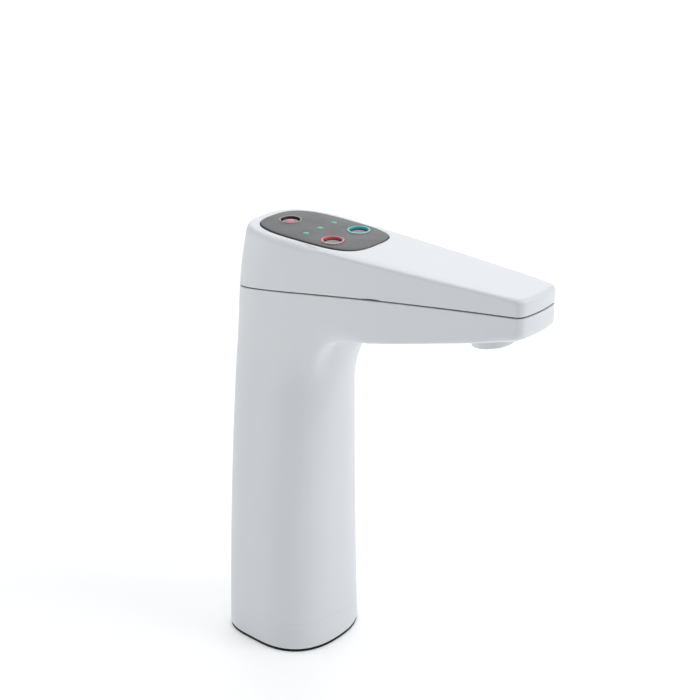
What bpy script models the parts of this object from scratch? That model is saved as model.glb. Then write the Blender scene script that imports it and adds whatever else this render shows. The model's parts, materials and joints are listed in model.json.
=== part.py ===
"""Boiling water dispenser: a deck-mounted column with a long wedge-shaped head,
three recessed buttons on top and a short outlet under the tip.

Frame: metres, +Z up, +X towards the tip of the spout, origin at the centre of
the foot on the deck. The object is symmetric about the XZ plane, apart from
which side is hot and which is chilled.
"""

import math

import bmesh
import bpy
from mathutils import Matrix, Vector

MM = 0.001

# ---------------------------------------------------------------- dimensions
# all in millimetres

# column: superellipse sections, see section()
FOOT_HALF_DEPTH = 30.5
FOOT_HALF_WIDTH = 32.0
HEAD_HALF_WIDTH = 24.3
HEAD_CENTRE = 15.0
REF_HEIGHT = 198.6
EXP_FRONT = 2.4
EXP_BACK = 4.0
EXP_TOP = 2.6
WALL = 2.4

# head
TOP_Z = 233.2
EDGE_DROP = 0.6
TIP_X = 149.7
TIP_BOW = 1.35
TIP_CORNER = 4.6
EDGE = 3.0
TOP_EDGE = 2.6
JOINT_GAP = 0.4
REBATE = 1.2
REBATE_Z = 1.1
STATIONS = (44.0, 57.0, 70.0, 82.0, 94.0, 106.0, 117.0, 128.0, 137.6, 145.4)

# control panel
PANEL_X = 20.75
PANEL_HALF_LENGTH = 33.85
PANEL_HALF_WIDTH = 18.95
PANEL_EXP = 3.5
PANEL_EXP_REAR = 2.9
PANEL_TAPER = 0.02
PANEL_TOP = 233.5
PANEL_THICK = 2.2
PANEL_GAP = 0.35
LEDGE_Z = 230.1
LEDGE_WIDTH = 2.2
LEDGE_BOTTOM = 227.4

# buttons: centre, ring and travel
BOIL_XY = (35.4, -9.7)
CHILLED_XY = (35.4, 9.7)
SAFETY_XY = (-0.8, 0.0)
RING_OUTER = 5.4
RING_INNER = 4.5
CAP_RADIUS = 4.15
CAP_TOP = 232.0
BUTTON_TRAVEL = 0.8
LAMP_X = 18.9
LAMP_Y = (-10.3, 0.0, 10.3)

# board
BOARD_TOP = 222.2
BOARD_THICK = 1.6

# outlet
OUTLET_X = 122.5
FLANGE_RADIUS = 9.4
NECK_RADIUS = 7.7

# foot
GASKET_THICK = 1.4
SHELL_BOTTOM = 1.7
PLATE_THICK = 7.0
INLET_X = -5.0
INLET_Y = 7.2
SOCKET_X = 8.0
FOOT_SCREWS = ((18.6, 19.4), (18.6, -19.4), (-21.2, 22.2), (-21.2, -22.2))

SEGMENTS = 24


# ---------------------------------------------------------------- shape rules
def section(z):
    """Front reach, rear reach, half-width and centre of a section at a height."""
    h = z / REF_HEIGHT
    a = FOOT_HALF_DEPTH - 1.98 * h
    mid = -0.44 * h + 5.85 * h * h
    xc = mid + (HEAD_CENTRE - mid) * smooth(150.0, 205.0, z)
    over = FOOT_HALF_WIDTH - 5.41 * h - 4.3 * h * h - HEAD_HALF_WIDTH
    b = HEAD_HALF_WIDTH + 0.5 * (over + math.sqrt(over * over + 0.1))
    return mid + a - xc, xc - mid + a, b, xc


def taper(x):
    """How far the head's side walls have drawn in at a distance along the spout."""
    d = max(0.0, x - 18.0)
    return 0.052 * d + 0.00020 * d * d


def joint_z(x):
    """Height of the joint between body and cover."""
    return 203.6 + 0.178 * x - 0.00026 * x * x


def under_z(x):
    """Height of the spout's underside."""
    return 191.9 + 0.26 * (x - 67.6)


def smooth(lo, hi, v):
    t = min(1.0, max(0.0, (v - lo) / (hi - lo)))
    return t * t * (3 - 2 * t)


def power(v, p):
    return math.copysign(abs(v) ** p, v)


def front_point(deg, z, inset):
    """Column, front half: 0 degrees is straight ahead, 90 is the widest point."""
    a, _, b, xc = section(z)
    t = math.radians(deg)
    return (
        xc + (a - inset) * power(math.cos(t), 2 / EXP_FRONT),
        (b - inset) * power(math.sin(t), 2 / EXP_FRONT),
    )


def rear_point(deg, z, inset):
    """Column and head, rear half: 0 degrees is straight back. The corners grow
    rounder towards the top."""
    _, a, b, xc = section(z)
    t = math.radians(deg)
    e = 2 / (EXP_BACK + (EXP_TOP - EXP_BACK) * smooth(198.0, 236.0, z))
    return xc - (a - inset) * power(math.cos(t), e), (b - inset) * power(math.sin(t), e)


def side_y(x, z, inset):
    return section(z)[2] - taper(x) - inset


# angles of the ring's points, and where the forward ones meet the head's side
FRONT_DEG = (0.0, 9.0, 18.0, 27.0, 36.0)
SIDE_DEG = (46.0, 57.0, 68.0, 79.0)
SIDE_HEAD_X = (38.5, 32.0, 26.0, 20.5)
REAR_DEG = (90.0, 80.0, 70.0, 60.0, 50.0, 40.0, 30.0, 20.0, 10.0, 0.0)


def wall_points(z, inset):
    """Half a ring of wall points behind the spout, from the front corner to the
    back centre, at a height given as a number or as a function of x."""
    out = []
    for deg, head_x in zip(SIDE_DEG, SIDE_HEAD_X):
        height = z(head_x) if callable(z) else z
        low = front_point(deg, height, inset)
        high = (head_x, side_y(head_x, height, inset))
        w = smooth(160.0, 188.0, height)
        out.append((low[0] + (high[0] - low[0]) * w, low[1] + (high[1] - low[1]) * w, height))
    for deg in REAR_DEG:
        if callable(z):
            height = z(rear_point(deg, 205.0, inset)[0])
        else:
            height = z
        x, y = rear_point(deg, height, inset)
        out.append((x, y if deg else 0.0, height))
    return out


def spout_points(z, inset):
    """Half a ring of wall points along the spout, from the tip's centre back to
    the last station, z being a function of x."""
    tip = TIP_X - inset
    half = side_y(TIP_X, z(TIP_X), inset)
    flat = half - TIP_CORNER + 0.4 * inset
    out = []
    for k in range(len(FRONT_DEG)):
        y = flat * k / (len(FRONT_DEG) - 1)
        x = tip - TIP_BOW * (y / 12.0) ** 2
        out.append((x, y, z(x)))
    # the corner's arc
    x0, y0 = out[-1][0], out[-1][1]
    x1 = STATIONS[-1] - 0.6 * inset
    y1 = side_y(x1, z(x1), inset)
    for t in (0.34, 0.68):
        ang = t * math.pi / 2
        x = x1 + (x0 - x1) * math.cos(ang)
        y = y0 + (y1 - y0) * math.sin(ang)
        out.append((x, y, z(x)))
    out.append((x1, y1, z(x1)))
    for x in reversed(STATIONS[:-1]):
        out.append((x, side_y(x, z(x), inset), z(x)))
    return out


def head_ring(z, inset):
    """Whole outline of the head at a height that may vary along x, as (x, y, z)
    points in one turn from the tip's centre by the +Y side."""
    half = spout_points(z, inset) + wall_points(z, inset)
    return half + [(x, -y, h) for x, y, h in reversed(half[1:-1])]


def panel_ring(z, grow, count=44):
    """Outline of the control panel, grown or shrunk, at a height."""
    out = []
    for k in range(count):
        t = 2 * math.pi * k / count
        e = 2 / (PANEL_EXP if math.cos(t) > 0 else PANEL_EXP_REAR)
        u = power(math.cos(t), e)
        v = power(math.sin(t), e) * (1 - PANEL_TAPER * u)
        out.append((PANEL_X + (PANEL_HALF_LENGTH + grow) * u, (PANEL_HALF_WIDTH + grow) * v, z))
    return out


# ---------------------------------------------------------------- scene helpers
def clear_scene():
    for obj in list(bpy.data.objects):
        bpy.data.objects.remove(obj, do_unlink=True)


MATERIALS = {}


def material(name, colour, roughness, metallic=0.0, emission=None):
    if name not in MATERIALS:
        mat = bpy.data.materials.new(name)
        mat.use_nodes = True
        shader = mat.node_tree.nodes["Principled BSDF"]
        shader.inputs["Base Color"].default_value = (*colour, 1.0)
        shader.inputs["Roughness"].default_value = roughness
        shader.inputs["Metallic"].default_value = metallic
        if emission:
            shader.inputs["Emission Color"].default_value = (*emission, 1.0)
            shader.inputs["Emission Strength"].default_value = 0.6
        MATERIALS[name] = mat
    return MATERIALS[name]


def finish_mesh(name, bm, mat, origin=(0, 0, 0), smooth_angle=35.0):
    """Closes a bmesh given in millimetres into a named object with its own origin."""
    bmesh.ops.remove_doubles(bm, verts=bm.verts, dist=1e-4)
    bmesh.ops.recalc_face_normals(bm, faces=bm.faces)
    shift = Vector(origin)
    for v in bm.verts:
        v.co = (v.co - shift) * MM
    mesh = bpy.data.meshes.new(name)
    bm.to_mesh(mesh)
    bm.free()
    mesh.materials.append(mat)
    mesh.shade_smooth()
    mesh.set_sharp_from_angle(angle=math.radians(smooth_angle))
    obj = bpy.data.objects.new(name, mesh)
    obj.location = shift * MM
    bpy.context.collection.objects.link(obj)
    return obj


def loft(name, rings, mat, loop=False, origin=(0, 0, 0), matrix=None):
    """Skins rings of equal length. loop joins the last ring to the first; else
    both ends are closed, a ring of one point being a pole."""
    bm = bmesh.new()
    rows = [[bm.verts.new(p) for p in ring] for ring in rings]
    pairs = list(zip(rows, rows[1:]))
    if loop:
        pairs.append((rows[-1], rows[0]))
    for low, high in pairs:
        n = max(len(low), len(high))
        for k in range(n):
            m = (k + 1) % n
            if len(low) == 1:
                bm.faces.new((low[0], high[m], high[k]))
            elif len(high) == 1:
                bm.faces.new((low[k], low[m], high[0]))
            else:
                bm.faces.new((low[k], low[m], high[m], high[k]))
    if not loop:
        for ring in (rows[0], rows[-1]):
            if len(ring) > 2:
                bm.faces.new(ring)
    if matrix is not None:
        bmesh.ops.transform(bm, matrix=matrix, verts=bm.verts)
    return finish_mesh(name, bm, mat, origin)


def turned(name, profile, mat, centre=(0, 0), count=SEGMENTS, loop=False, origin=None, matrix=None, turn=0.0, wedge=None):
    """Turns (radius, height) points about a vertical axis. wedge = (height,
    slope) tilts what lies below that height."""
    cx, cy = centre
    rings = []
    for r, z in profile:
        if r == 0:
            rings.append([(cx, cy, z)])
        else:
            rings.append(
                [
                    (
                        cx + r * math.cos(2 * math.pi * (k + turn) / count),
                        cy + r * math.sin(2 * math.pi * (k + turn) / count),
                        z,
                    )
                    for k in range(count)
                ]
            )
    if wedge:
        rings = [[(x, y, z - wedge[1] * (x - cx) if z < wedge[0] else z) for x, y, z in ring] for ring in rings]
    return loft(name, rings, mat, loop, origin or (cx, cy, 0), matrix)


def block(name, low, high, mat, chamfer=0.0, origin=None, matrix=None):
    """A box between two corners, its edges chamfered by a Bevel modifier."""
    bm = bmesh.new()
    bmesh.ops.create_cube(bm, size=1.0)
    size = [h - l for l, h in zip(low, high)]
    mid = [(h + l) / 2 for l, h in zip(low, high)]
    for v in bm.verts:
        v.co = Vector([m + s * c for m, s, c in zip(mid, size, v.co)])
    if matrix is not None:
        bmesh.ops.transform(bm, matrix=matrix, verts=bm.verts)
    obj = finish_mesh(name, bm, mat, origin or mid)
    if chamfer:
        bevel = obj.modifiers.new("edges", "BEVEL")
        bevel.width = chamfer * MM
        bevel.segments = 1
        bevel.limit_method = "ANGLE"
    return obj


def helper(obj):
    """A cutter or a tool body: never rendered, never a piece."""
    obj.hide_render = True
    obj.display_type = "WIRE"
    return obj


def boolean(obj, tool, operation="DIFFERENCE"):
    modifier = obj.modifiers.new(f"{operation.lower()}_{tool.name}", "BOOLEAN")
    modifier.operation = operation
    modifier.solver = "EXACT"
    modifier.object = helper(tool)
    return obj


def tube_sweep(name, route, outer, inner, sides, mat):
    """A hollow tube along a smooth curve through the route's points."""
    points = []
    n = len(route)
    for k in range(n - 1):
        p0 = Vector(route[max(k - 1, 0)])
        p1 = Vector(route[k])
        p2 = Vector(route[k + 1])
        p3 = Vector(route[min(k + 2, n - 1)])
        steps = max(2, round((p2 - p1).length / 11.0))
        for s in range(steps):
            t = s / steps
            points.append(
                0.5
                * (
                    2 * p1
                    + (p2 - p0) * t
                    + (2 * p0 - 5 * p1 + 4 * p2 - p3) * t * t
                    + (3 * p1 - p0 - 3 * p2 + p3) * t * t * t
                )
            )
    points.append(Vector(route[-1]))
    side = Vector((0, 1, 0))
    frames = []
    for k, p in enumerate(points):
        ahead = points[min(k + 1, len(points) - 1)] - points[max(k - 1, 0)]
        ahead.normalize()
        across = (side - ahead * side.dot(ahead)).normalized()
        frames.append((p, across, ahead.cross(across)))

    def ring(frame, radius):
        p, u, v = frame
        return [
            tuple(p + radius * (math.cos(2 * math.pi * j / sides) * u + math.sin(2 * math.pi * j / sides) * v))
            for j in range(sides)
        ]

    rings = [ring(f, outer) for f in frames]
    if inner:
        rings += [ring(f, inner) for f in reversed(frames)]
    return loft(name, rings, mat, loop=bool(inner), origin=tuple(points[0]))


# ---------------------------------------------------------------- body shell
def body_surface(bm, inset, bottom, top):
    """Skin of the column and the spout's lower half. It returns the foot's ring
    and the joint's ring, both from the front centre by +Y. bottom is a list of
    (height, extra inset) rows at the foot, top the joint's height as a function."""
    edge = EDGE if inset < 0.5 else 1.4
    rows_z = list(bottom) + [(z, 0.0) for z in (16.0, 42.0, 70.0, 98.0, 124.0, 142.0, 158.0, 173.0)]
    levels = (179.0, 186.0)  # the last two rows of the wall behind the spout

    def under(x):
        return under_z(x) + inset

    def mirrored(half, closed_back=True):
        rest = half[1:-1] if closed_back else half[1:]
        return half + [(x, -y, z) for x, y, z in reversed(rest)]

    # column rings
    rings = []
    for z, extra in rows_z:
        half = [(*front_point(deg, z, inset + extra), z) for deg in FRONT_DEG]
        rings.append(mirrored(half + wall_points(z, inset + extra)))
    # the flare: front points leave the column and turn under the spout
    x1 = STATIONS[0]
    half1 = side_y(x1, 190.0, inset) - edge
    for s, z in zip((0.32, 0.64), levels):
        half = []
        for k, deg in enumerate(FRONT_DEG):
            ax, ay = front_point(deg, 173.0, inset)
            kx, ky = front_point(deg, 184.0, inset)
            a = Vector((ax, ay, 173.0))
            c = Vector((kx + 0.6, ky + 0.8 * k / 4, under(kx)))
            u = Vector((x1, half1 * k / 4, under(x1)))
            bend = 2 * max(1.0, (u - c).length / 10.0)  # keeps the fillet tight at the corners
            p = a + (c - a) * (1 - (1 - s) ** 2) + (u - c) * s**bend
            half.append(tuple(p))
        rings.append(mirrored(half + wall_points(z, inset)))
    rows = [[bm.verts.new(p) for p in ring] for ring in rings]
    count = len(rows[0])
    for low, high in zip(rows, rows[1:]):
        for k in range(count):
            m = (k + 1) % count
            bm.faces.new((low[k], low[m], high[m], high[k]))

    # underside of the spout, one row of points across at each station
    nf = len(FRONT_DEG)
    before = [rows[-1][k] for k in range(nf - 1, -1, -1)] + [rows[-1][-k] for k in range(1, nf)]
    first_row = before
    stations = list(STATIONS[:-1]) + [STATIONS[-1] - 0.6 * inset]
    across_rows = []
    for x in stations:
        half = side_y(x, 190.0, inset) - edge
        if x == stations[-1]:
            half = side_y(x, 216.0, inset) - edge
        ys = [half * k / (nf - 1) for k in range(nf - 1, -1, -1)]
        ys += [-y for y in reversed(ys[:-1])]
        across_rows.append([bm.verts.new((x, y, under(x))) for y in ys])
    for row in across_rows:
        for k in range(len(row) - 1):
            bm.faces.new((before[k], before[k + 1], row[k + 1], row[k]))
        before = row

    # head wall: ring at the lower edge, half-way, and the joint
    def low_edge(x):
        return under(x) + edge

    def middle(x):
        return 0.5 * (low_edge(x) + top(x))

    def strip(height):
        half = spout_points(height, inset)
        return [bm.verts.new(p) for p in half], [bm.verts.new((x, -y, z)) if k else None for k, (x, y, z) in enumerate(half)]

    lower = strip(low_edge)
    mid = strip(middle)
    high = strip(top)
    for side in (0, 1):
        def take(rowpair, k):
            if k == 0:
                return rowpair[0][0]
            return rowpair[side][k]

        n = len(lower[0])
        for k in range(n - 1):
            for p, q in ((lower, mid), (mid, high)):
                bm.faces.new((take(p, k), take(p, k + 1), take(q, k + 1), take(q, k)))
        # strip between wall and underside along the spout
        wall = [take(lower, k) for k in range(n)]
        stations_wall = wall[nf + 1 :]  # corner end, then stations back to the first
        outer = 0 if side == 0 else 2 * nf - 2
        col = [row[outer] for row in reversed(across_rows)]
        # stations_wall[0] is the last arc point, [1] the corner's end at the last station
        for k in range(len(col) - 1):
            bm.faces.new((stations_wall[k + 1], stations_wall[k + 2], col[k + 1], col[k]))
        bm.faces.new((wall[nf - 1], wall[nf], wall[nf + 1], wall[nf + 2], col[0]))
        # across the tip
        tip_row = across_rows[-1]
        half_row = tip_row[: nf][::-1] if side == 0 else tip_row[nf - 1 :]
        for k in range(nf - 1):
            bm.faces.new((wall[k], wall[k + 1], half_row[k + 1], half_row[k]))
        # joint with the column's wall
        corner = rows[-1][nf] if side == 0 else rows[-1][-nf]
        front = first_row[0] if side == 0 else first_row[-1]
        bm.faces.new((wall[-1], corner, front, col[-1]))

    # the wall behind the spout, above the column's last row
    def rear_height(height):
        half = wall_points(height, inset)
        return [bm.verts.new(p) for p in half], [bm.verts.new((x, -y, z)) if y else None for x, y, z in half]

    nr = len(SIDE_DEG) + len(REAR_DEG)

    def half_way(x):
        return 0.5 * (186.0 + top(x)) + 0.6

    rear_mid = rear_height(half_way)
    rear_top = rear_height(top)
    for side in (0, 1):
        def take_rear(rowpair, k):
            return rowpair[0][k] if k == nr - 1 else rowpair[side][k]

        def base(k):
            return rows[-1][nf + k] if side == 0 else rows[-1][-(nf + k)]

        for k in range(nr - 1):
            bm.faces.new((base(k), base(k + 1), take_rear(rear_mid, k + 1), take_rear(rear_mid, k)))
            bm.faces.new(
                (take_rear(rear_mid, k), take_rear(rear_mid, k + 1), take_rear(rear_top, k + 1), take_rear(rear_top, k))
            )
        # from the last station to the wall's first column
        ends = [pair[side][-1] for pair in (lower, mid, high)]
        starts = [base(0), take_rear(rear_mid, 0), take_rear(rear_top, 0)]
        for k in range(2):
            bm.faces.new((ends[k], starts[k], starts[k + 1], ends[k + 1]))
    half = high[0] + [take for take in rear_top[0]]
    other = [v for v in rear_top[1][:-1]][::-1] + high[1][1:][::-1]
    return rows[0], half + other


def body_shell(mat):
    bm = bmesh.new()
    half_gap = JOINT_GAP / 2

    def outer_top(x):
        return joint_z(x) - half_gap

    def inner_top(x):
        return joint_z(x) - half_gap - REBATE_Z

    foot_out, joint_out = body_surface(
        bm, 0.0, [(SHELL_BOTTOM, 0.7), (SHELL_BOTTOM + 0.5, 0.2), (SHELL_BOTTOM + 1.3, 0.0)], outer_top
    )
    foot_in, joint_in = body_surface(bm, WALL, [(SHELL_BOTTOM, 0.0), (SHELL_BOTTOM + 2.0, 0.0)], inner_top)
    step_high = [bm.verts.new(p) for p in head_ring(outer_top, REBATE)]
    step_low = [bm.verts.new(p) for p in head_ring(inner_top, REBATE)]
    for low, high in ((joint_out, step_high), (step_high, step_low), (step_low, joint_in), (foot_out, foot_in)):
        n = len(low)
        for k in range(n):
            m = (k + 1) % n
            bm.faces.new((low[k], low[m], high[m], high[k]))
    shell = finish_mesh("body_shell", bm, mat)

    # screw bosses at the foot
    for k, (x, y) in enumerate(FOOT_SCREWS):
        boss = turned(
            f"foot_boss_{k + 1}",
            [(0, 22.5), (1.5, 22.5), (1.5, 9.0), (4.0, 9.0), (4.0, 25.0), (0, 25.0)],
            mat,
            (x, y),
            16,
        )
        boolean(shell, boss, "UNION")
    # opening for the outlet's neck
    cutter = turned("outlet_opening", [(0, -6), (8.0, -6), (8.0, 9), (0, 9)], mat, (0, 0), matrix=OUTLET)
    boolean(shell, cutter)
    return shell


# the outlet's own frame: origin on the underside, +Z along the neck
SLOPE = math.atan(0.26)
OUTLET = Matrix.Translation(Vector((OUTLET_X, 0, under_z(OUTLET_X)))) @ Matrix.Rotation(-SLOPE, 4, "Y")


# ---------------------------------------------------------------- cover
def top_cover(mat):
    half_gap = JOINT_GAP / 2

    def low(x):
        return joint_z(x) + half_gap

    def rebate(x):
        return joint_z(x) + half_gap + REBATE_Z

    def level(z):
        return lambda x: z

    count = len(head_ring(low, 0.0))
    outline = head_ring(level(TOP_Z), 0.0)
    # panel outline points matched to the head's points by arc position
    opening = matched_panel(outline, PANEL_GAP)
    inner_edge = matched_panel(outline, PANEL_GAP - LEDGE_WIDTH)
    inner_wall = head_ring(level(TOP_Z - 4.0), WALL)

    def at(points, z):
        return [(x, y, z) for x, y, _ in points]

    # the ledge's outer side and the roof: beside the panel there is no room for
    # a hollow, in front of it the roof rises behind a wall of even thickness
    wall_line = matched_panel(outline, PANEL_GAP + 1.9)
    roof_line = matched_panel(outline, PANEL_GAP + 4.2)
    ledge_out, roof = [], []
    for (ix, iy, _), (ox, oy, _), wide, far in zip(inner_wall, inner_edge, wall_line, roof_line):
        gap = math.hypot(ix - ox, iy - oy)
        room = smooth(6.0, 14.0, gap)
        for out, share, line, z in (
            (ledge_out, 0.5, wide, LEDGE_BOTTOM),
            (roof, 0.7, far, LEDGE_BOTTOM + (TOP_Z - 2.7 - LEDGE_BOTTOM) * smooth(0.3, 1.0, room) - 0.02),
        ):
            nx, ny = ox + (ix - ox) * share, oy + (iy - oy) * share
            if room > 0:
                nx, ny = nx + (line[0] - nx) * room, ny + (line[1] - ny) * room
            out.append((nx, ny, z))
    roof_wall = [(x, y, r[2]) for (x, y, _), r in zip(inner_wall, roof)]
    rings = [
        head_ring(low, 0.0),
        head_ring(lambda x: 0.5 * (low(x) + TOP_Z), 0.0),
        head_ring(level(TOP_Z - EDGE_DROP - TOP_EDGE), 0.0),
        head_ring(level(TOP_Z - EDGE_DROP - 0.3 * TOP_EDGE), 0.3 * TOP_EDGE),
        head_ring(level(TOP_Z - EDGE_DROP), TOP_EDGE),
        at(opening, TOP_Z),
        at(opening, LEDGE_Z),
        at(inner_edge, LEDGE_Z),
        at(inner_edge, LEDGE_BOTTOM),
        ledge_out,
        roof,
        roof_wall,
        head_ring(rebate, WALL),
        head_ring(rebate, REBATE),
        head_ring(low, REBATE),
    ]
    assert all(len(ring) == count for ring in rings)
    cover = loft("top_cover", rings, mat, loop=True)

    # snap tongues that reach down into the body
    for side in (-1, 1):
        x, z = 96.0, joint_z(96.0)
        wall_y = side_y(x, z, WALL)
        tongue = block(
            f"snap_tongue_{'left' if side > 0 else 'right'}",
            (x - 4, wall_y - 2.2, z - 7.0),
            (x + 4, wall_y - 0.9, z + 9.0),
            mat,
        )
        foot = block(
            f"snap_root_{'left' if side > 0 else 'right'}",
            (x - 4, wall_y - 2.0, z + 4.0),
            (x + 4, wall_y + 0.8, z + 8.9),
            mat,
        )
        if side < 0:
            for piece in (tongue, foot):
                for v in piece.data.vertices:
                    v.co.y = -v.co.y
                piece.data.flip_normals()
                piece.location.y = -piece.location.y
        boolean(cover, tongue, "UNION")
        boolean(cover, foot, "UNION")
    # pry slot in the joint on the -Y side
    x = 69.0
    y = -side_y(x, joint_z(x), 0.0)
    slot = block("pry_slot", (x - 5.5, y - 2.0, joint_z(x) - 1.5), (x + 5.5, y + 1.0, joint_z(x) + 1.0), mat)
    boolean(cover, slot)
    return cover


def matched_panel(outline, grow):
    """Points of the panel's outline in one turn, spread in step with the head's
    outline so that the two can be skinned."""
    dense = panel_ring(0.0, grow, 720)
    out = []
    for x, y, _ in outline:
        # direction from the panel's centre, eased for the long spout
        px = (x - PANEL_X) / (TIP_X - PANEL_X) * PANEL_HALF_LENGTH if x > PANEL_X else x - PANEL_X
        ang = math.atan2(y / PANEL_HALF_WIDTH, px / PANEL_HALF_LENGTH)
        best = min(
            dense,
            key=lambda p: abs(
                math.remainder(
                    math.atan2(p[1] / PANEL_HALF_WIDTH, (p[0] - PANEL_X) / PANEL_HALF_LENGTH) - ang, 2 * math.pi
                )
            ),
        )
        out.append(best)
    return out


def joint_seal(mat):
    lo, hi = REBATE + 0.35, WALL + 0.1

    def below(x):
        return joint_z(x) - JOINT_GAP / 2 - REBATE_Z + 0.3

    def above(x):
        return joint_z(x) + JOINT_GAP / 2 + REBATE_Z - 0.3

    return loft(
        "joint_seal",
        [head_ring(below, lo), head_ring(above, lo), head_ring(above, hi), head_ring(below, hi)],
        mat,
        loop=True,
    )


# ---------------------------------------------------------------- control panel
def control_panel(grey, dark):
    bottom = PANEL_TOP - PANEL_THICK
    panel = loft(
        "control_panel",
        [
            panel_ring(bottom, 0.0),
            panel_ring(PANEL_TOP - 0.35, 0.0),
            panel_ring(PANEL_TOP, -0.35),
        ],
        grey,
    )
    for name, (x, y) in (("boil", BOIL_XY), ("chilled", CHILLED_XY), ("safety", SAFETY_XY)):
        hole = turned(
            f"{name}_hole", [(0, bottom - 1), (5.7, bottom - 1), (5.7, PANEL_TOP + 1), (0, PANEL_TOP + 1)], grey, (x, y)
        )
        boolean(panel, hole)
    for k, y in enumerate(LAMP_Y):
        hole = turned(
            f"lamp_hole_{k + 1}",
            [(0, bottom - 1), (1.45, bottom - 1), (1.45, PANEL_TOP + 1), (0, PANEL_TOP + 1)],
            grey,
            (LAMP_X, y),
            12,
        )
        boolean(panel, hole)
    for k, (x, y) in enumerate(POSTS):
        post = turned(
            f"panel_post_{k + 1}",
            [
                (0, BOARD_TOP + 6.5),
                (1.2, BOARD_TOP + 6.5),
                (1.2, BOARD_TOP + 0.3),
                (2.3, BOARD_TOP + 0.3),
                (2.3, bottom + 0.5),
                (0, bottom + 0.5),
            ],
            grey,
            (x, y),
            12,
        )
        boolean(panel, post, "UNION")
    loft(
        "panel_gasket",
        [
            panel_ring(LEDGE_Z + 0.3, -0.15),
            panel_ring(bottom - 0.3, -0.15),
            panel_ring(bottom - 0.3, -1.75),
            panel_ring(LEDGE_Z + 0.3, -1.75),
        ],
        dark,
        loop=True,
    )


POSTS = ((8.0, 13.0), (8.0, -13.0), (26.6, 0.0), (48.0, 0.0))


def button_set(name, centre, ring_mat, cap_mat, dark, steel):
    """Ring, cap, spring and switch of one button."""
    rim = PANEL_TOP + (0.0 if name == "safety_button" else 0.5)
    turned(
        f"{name}_ring" if name == "safety_button" else f"{name}_light_ring",
        [
            (RING_INNER, 228.4),
            (RING_OUTER, 228.4),
            (RING_OUTER, 229.9),
            (6.5, 229.9),
            (6.5, PANEL_TOP - PANEL_THICK - 0.3),
            (RING_OUTER, PANEL_TOP - PANEL_THICK - 0.3),
            (RING_OUTER, rim - 0.15),
            (RING_OUTER - 0.2, rim),
            (RING_INNER + 0.15, rim),
            (RING_INNER, rim - 0.15),
        ],
        ring_mat,
        centre,
        loop=True,
    )
    base = name if name.endswith("_button") else f"{name}_button"
    dish = [(0, CAP_TOP - 0.35), (3.0, CAP_TOP - 0.15), (CAP_RADIUS - 0.25, CAP_TOP), (CAP_RADIUS, CAP_TOP - 0.25)]
    if base == "safety_button":
        dish = [(0, CAP_TOP - 1.0), (2.4, CAP_TOP - 1.0), (2.4, CAP_TOP - 0.2), (3.1, CAP_TOP - 0.12)] + dish[2:]
    turned(
        base,
        dish
        + [
            (CAP_RADIUS, 230.6),
            (2.3, 230.2),
            (2.3, 228.0),
            (5.1, 228.0),
            (5.1, 226.9),
            (2.0, 226.9),
            (2.0, 226.1),
            (0, 226.1),
        ],
        cap_mat,
        centre,
        origin=(*centre, CAP_TOP),
    )
    if base == "safety_button":
        turned(
            "safety_button_lens",
            [(0, CAP_TOP - 0.75), (2.1, CAP_TOP - 0.75), (2.1, CAP_TOP - 0.1), (1.3, CAP_TOP + 0.35), (0, CAP_TOP + 0.5)],
            LENS[0],
            centre,
            12,
            origin=(*centre, CAP_TOP),
        )
    # return spring round the switch, from the board to the cap's collar
    low, high, turns, radius, wire = BOARD_TOP + 0.3, 226.6, 3, 3.75, 0.32
    curve = bpy.data.curves.new(f"{base}_spring", "CURVE")
    curve.dimensions = "3D"
    curve.bevel_depth = wire * MM
    curve.bevel_resolution = 1
    curve.use_fill_caps = True
    steps = 10 * turns
    spline = curve.splines.new("POLY")
    spline.points.add(steps)
    rise = high - low - 2 * wire
    for k, point in enumerate(spline.points):
        ang = 2 * math.pi * turns * k / steps
        point.co = (radius * math.cos(ang) * MM, radius * math.sin(ang) * MM, (wire + rise * k / steps) * MM, 1)
    curve.materials.append(steel)
    spring = bpy.data.objects.new(f"{base}_spring", curve)
    spring.location = (centre[0] * MM, centre[1] * MM, low * MM)
    bpy.context.collection.objects.link(spring)

    cx, cy = centre
    switch = block(
        f"{base.replace('_button', '')}_switch",
        (cx - 2.25, cy - 2.25, BOARD_TOP + 0.3),
        (cx + 2.25, cy + 2.25, BOARD_TOP + 2.3),
        dark,
    )
    stem = turned(
        f"{base}_switch_stem", [(0, BOARD_TOP + 1.5), (1.2, BOARD_TOP + 1.5), (1.2, BOARD_TOP + 2.9), (0, BOARD_TOP + 2.9)],
        dark, centre, 10,
    )
    boolean(switch, stem, "UNION")
    block(
        f"{base.replace('_button', '')}_led",
        (cx - 6.4, cy - 0.6, BOARD_TOP + 0.3),
        (cx - 5.2, cy + 0.6, BOARD_TOP + 1.1),
        LENS[1],
    )


LENS = []


def lamps(clear, lamp):
    bottom = PANEL_TOP - PANEL_THICK
    guide = block(
        "status_light_guide", (LAMP_X - 1.4, -12.6, 227.9), (LAMP_X + 1.4, 12.6, 229.4), clear
    )
    for k, y in enumerate(LAMP_Y):
        pin = turned(
            f"light_pin_{k + 1}",
            [(0, 228.6), (1.2, 228.6), (1.2, PANEL_TOP - 0.05), (0.9, PANEL_TOP + 0.2), (0, PANEL_TOP + 0.3)],
            clear,
            (LAMP_X, y),
            12,
        )
        boolean(guide, pin, "UNION")
        block(
            f"status_led_{k + 1}",
            (LAMP_X - 0.8, y - 0.8, BOARD_TOP + 0.3),
            (LAMP_X + 0.8, y + 0.8, BOARD_TOP + 1.1),
            lamp,
        )
    for k, y in enumerate((-12.0, 12.0)):
        leg = block(
            f"guide_leg_{k + 1}", (LAMP_X - 1.2, y - 0.55, BOARD_TOP + 0.3), (LAMP_X + 1.2, y + 0.55, 228.4), clear
        )
        boolean(guide, leg, "UNION")
    return bottom


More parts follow.
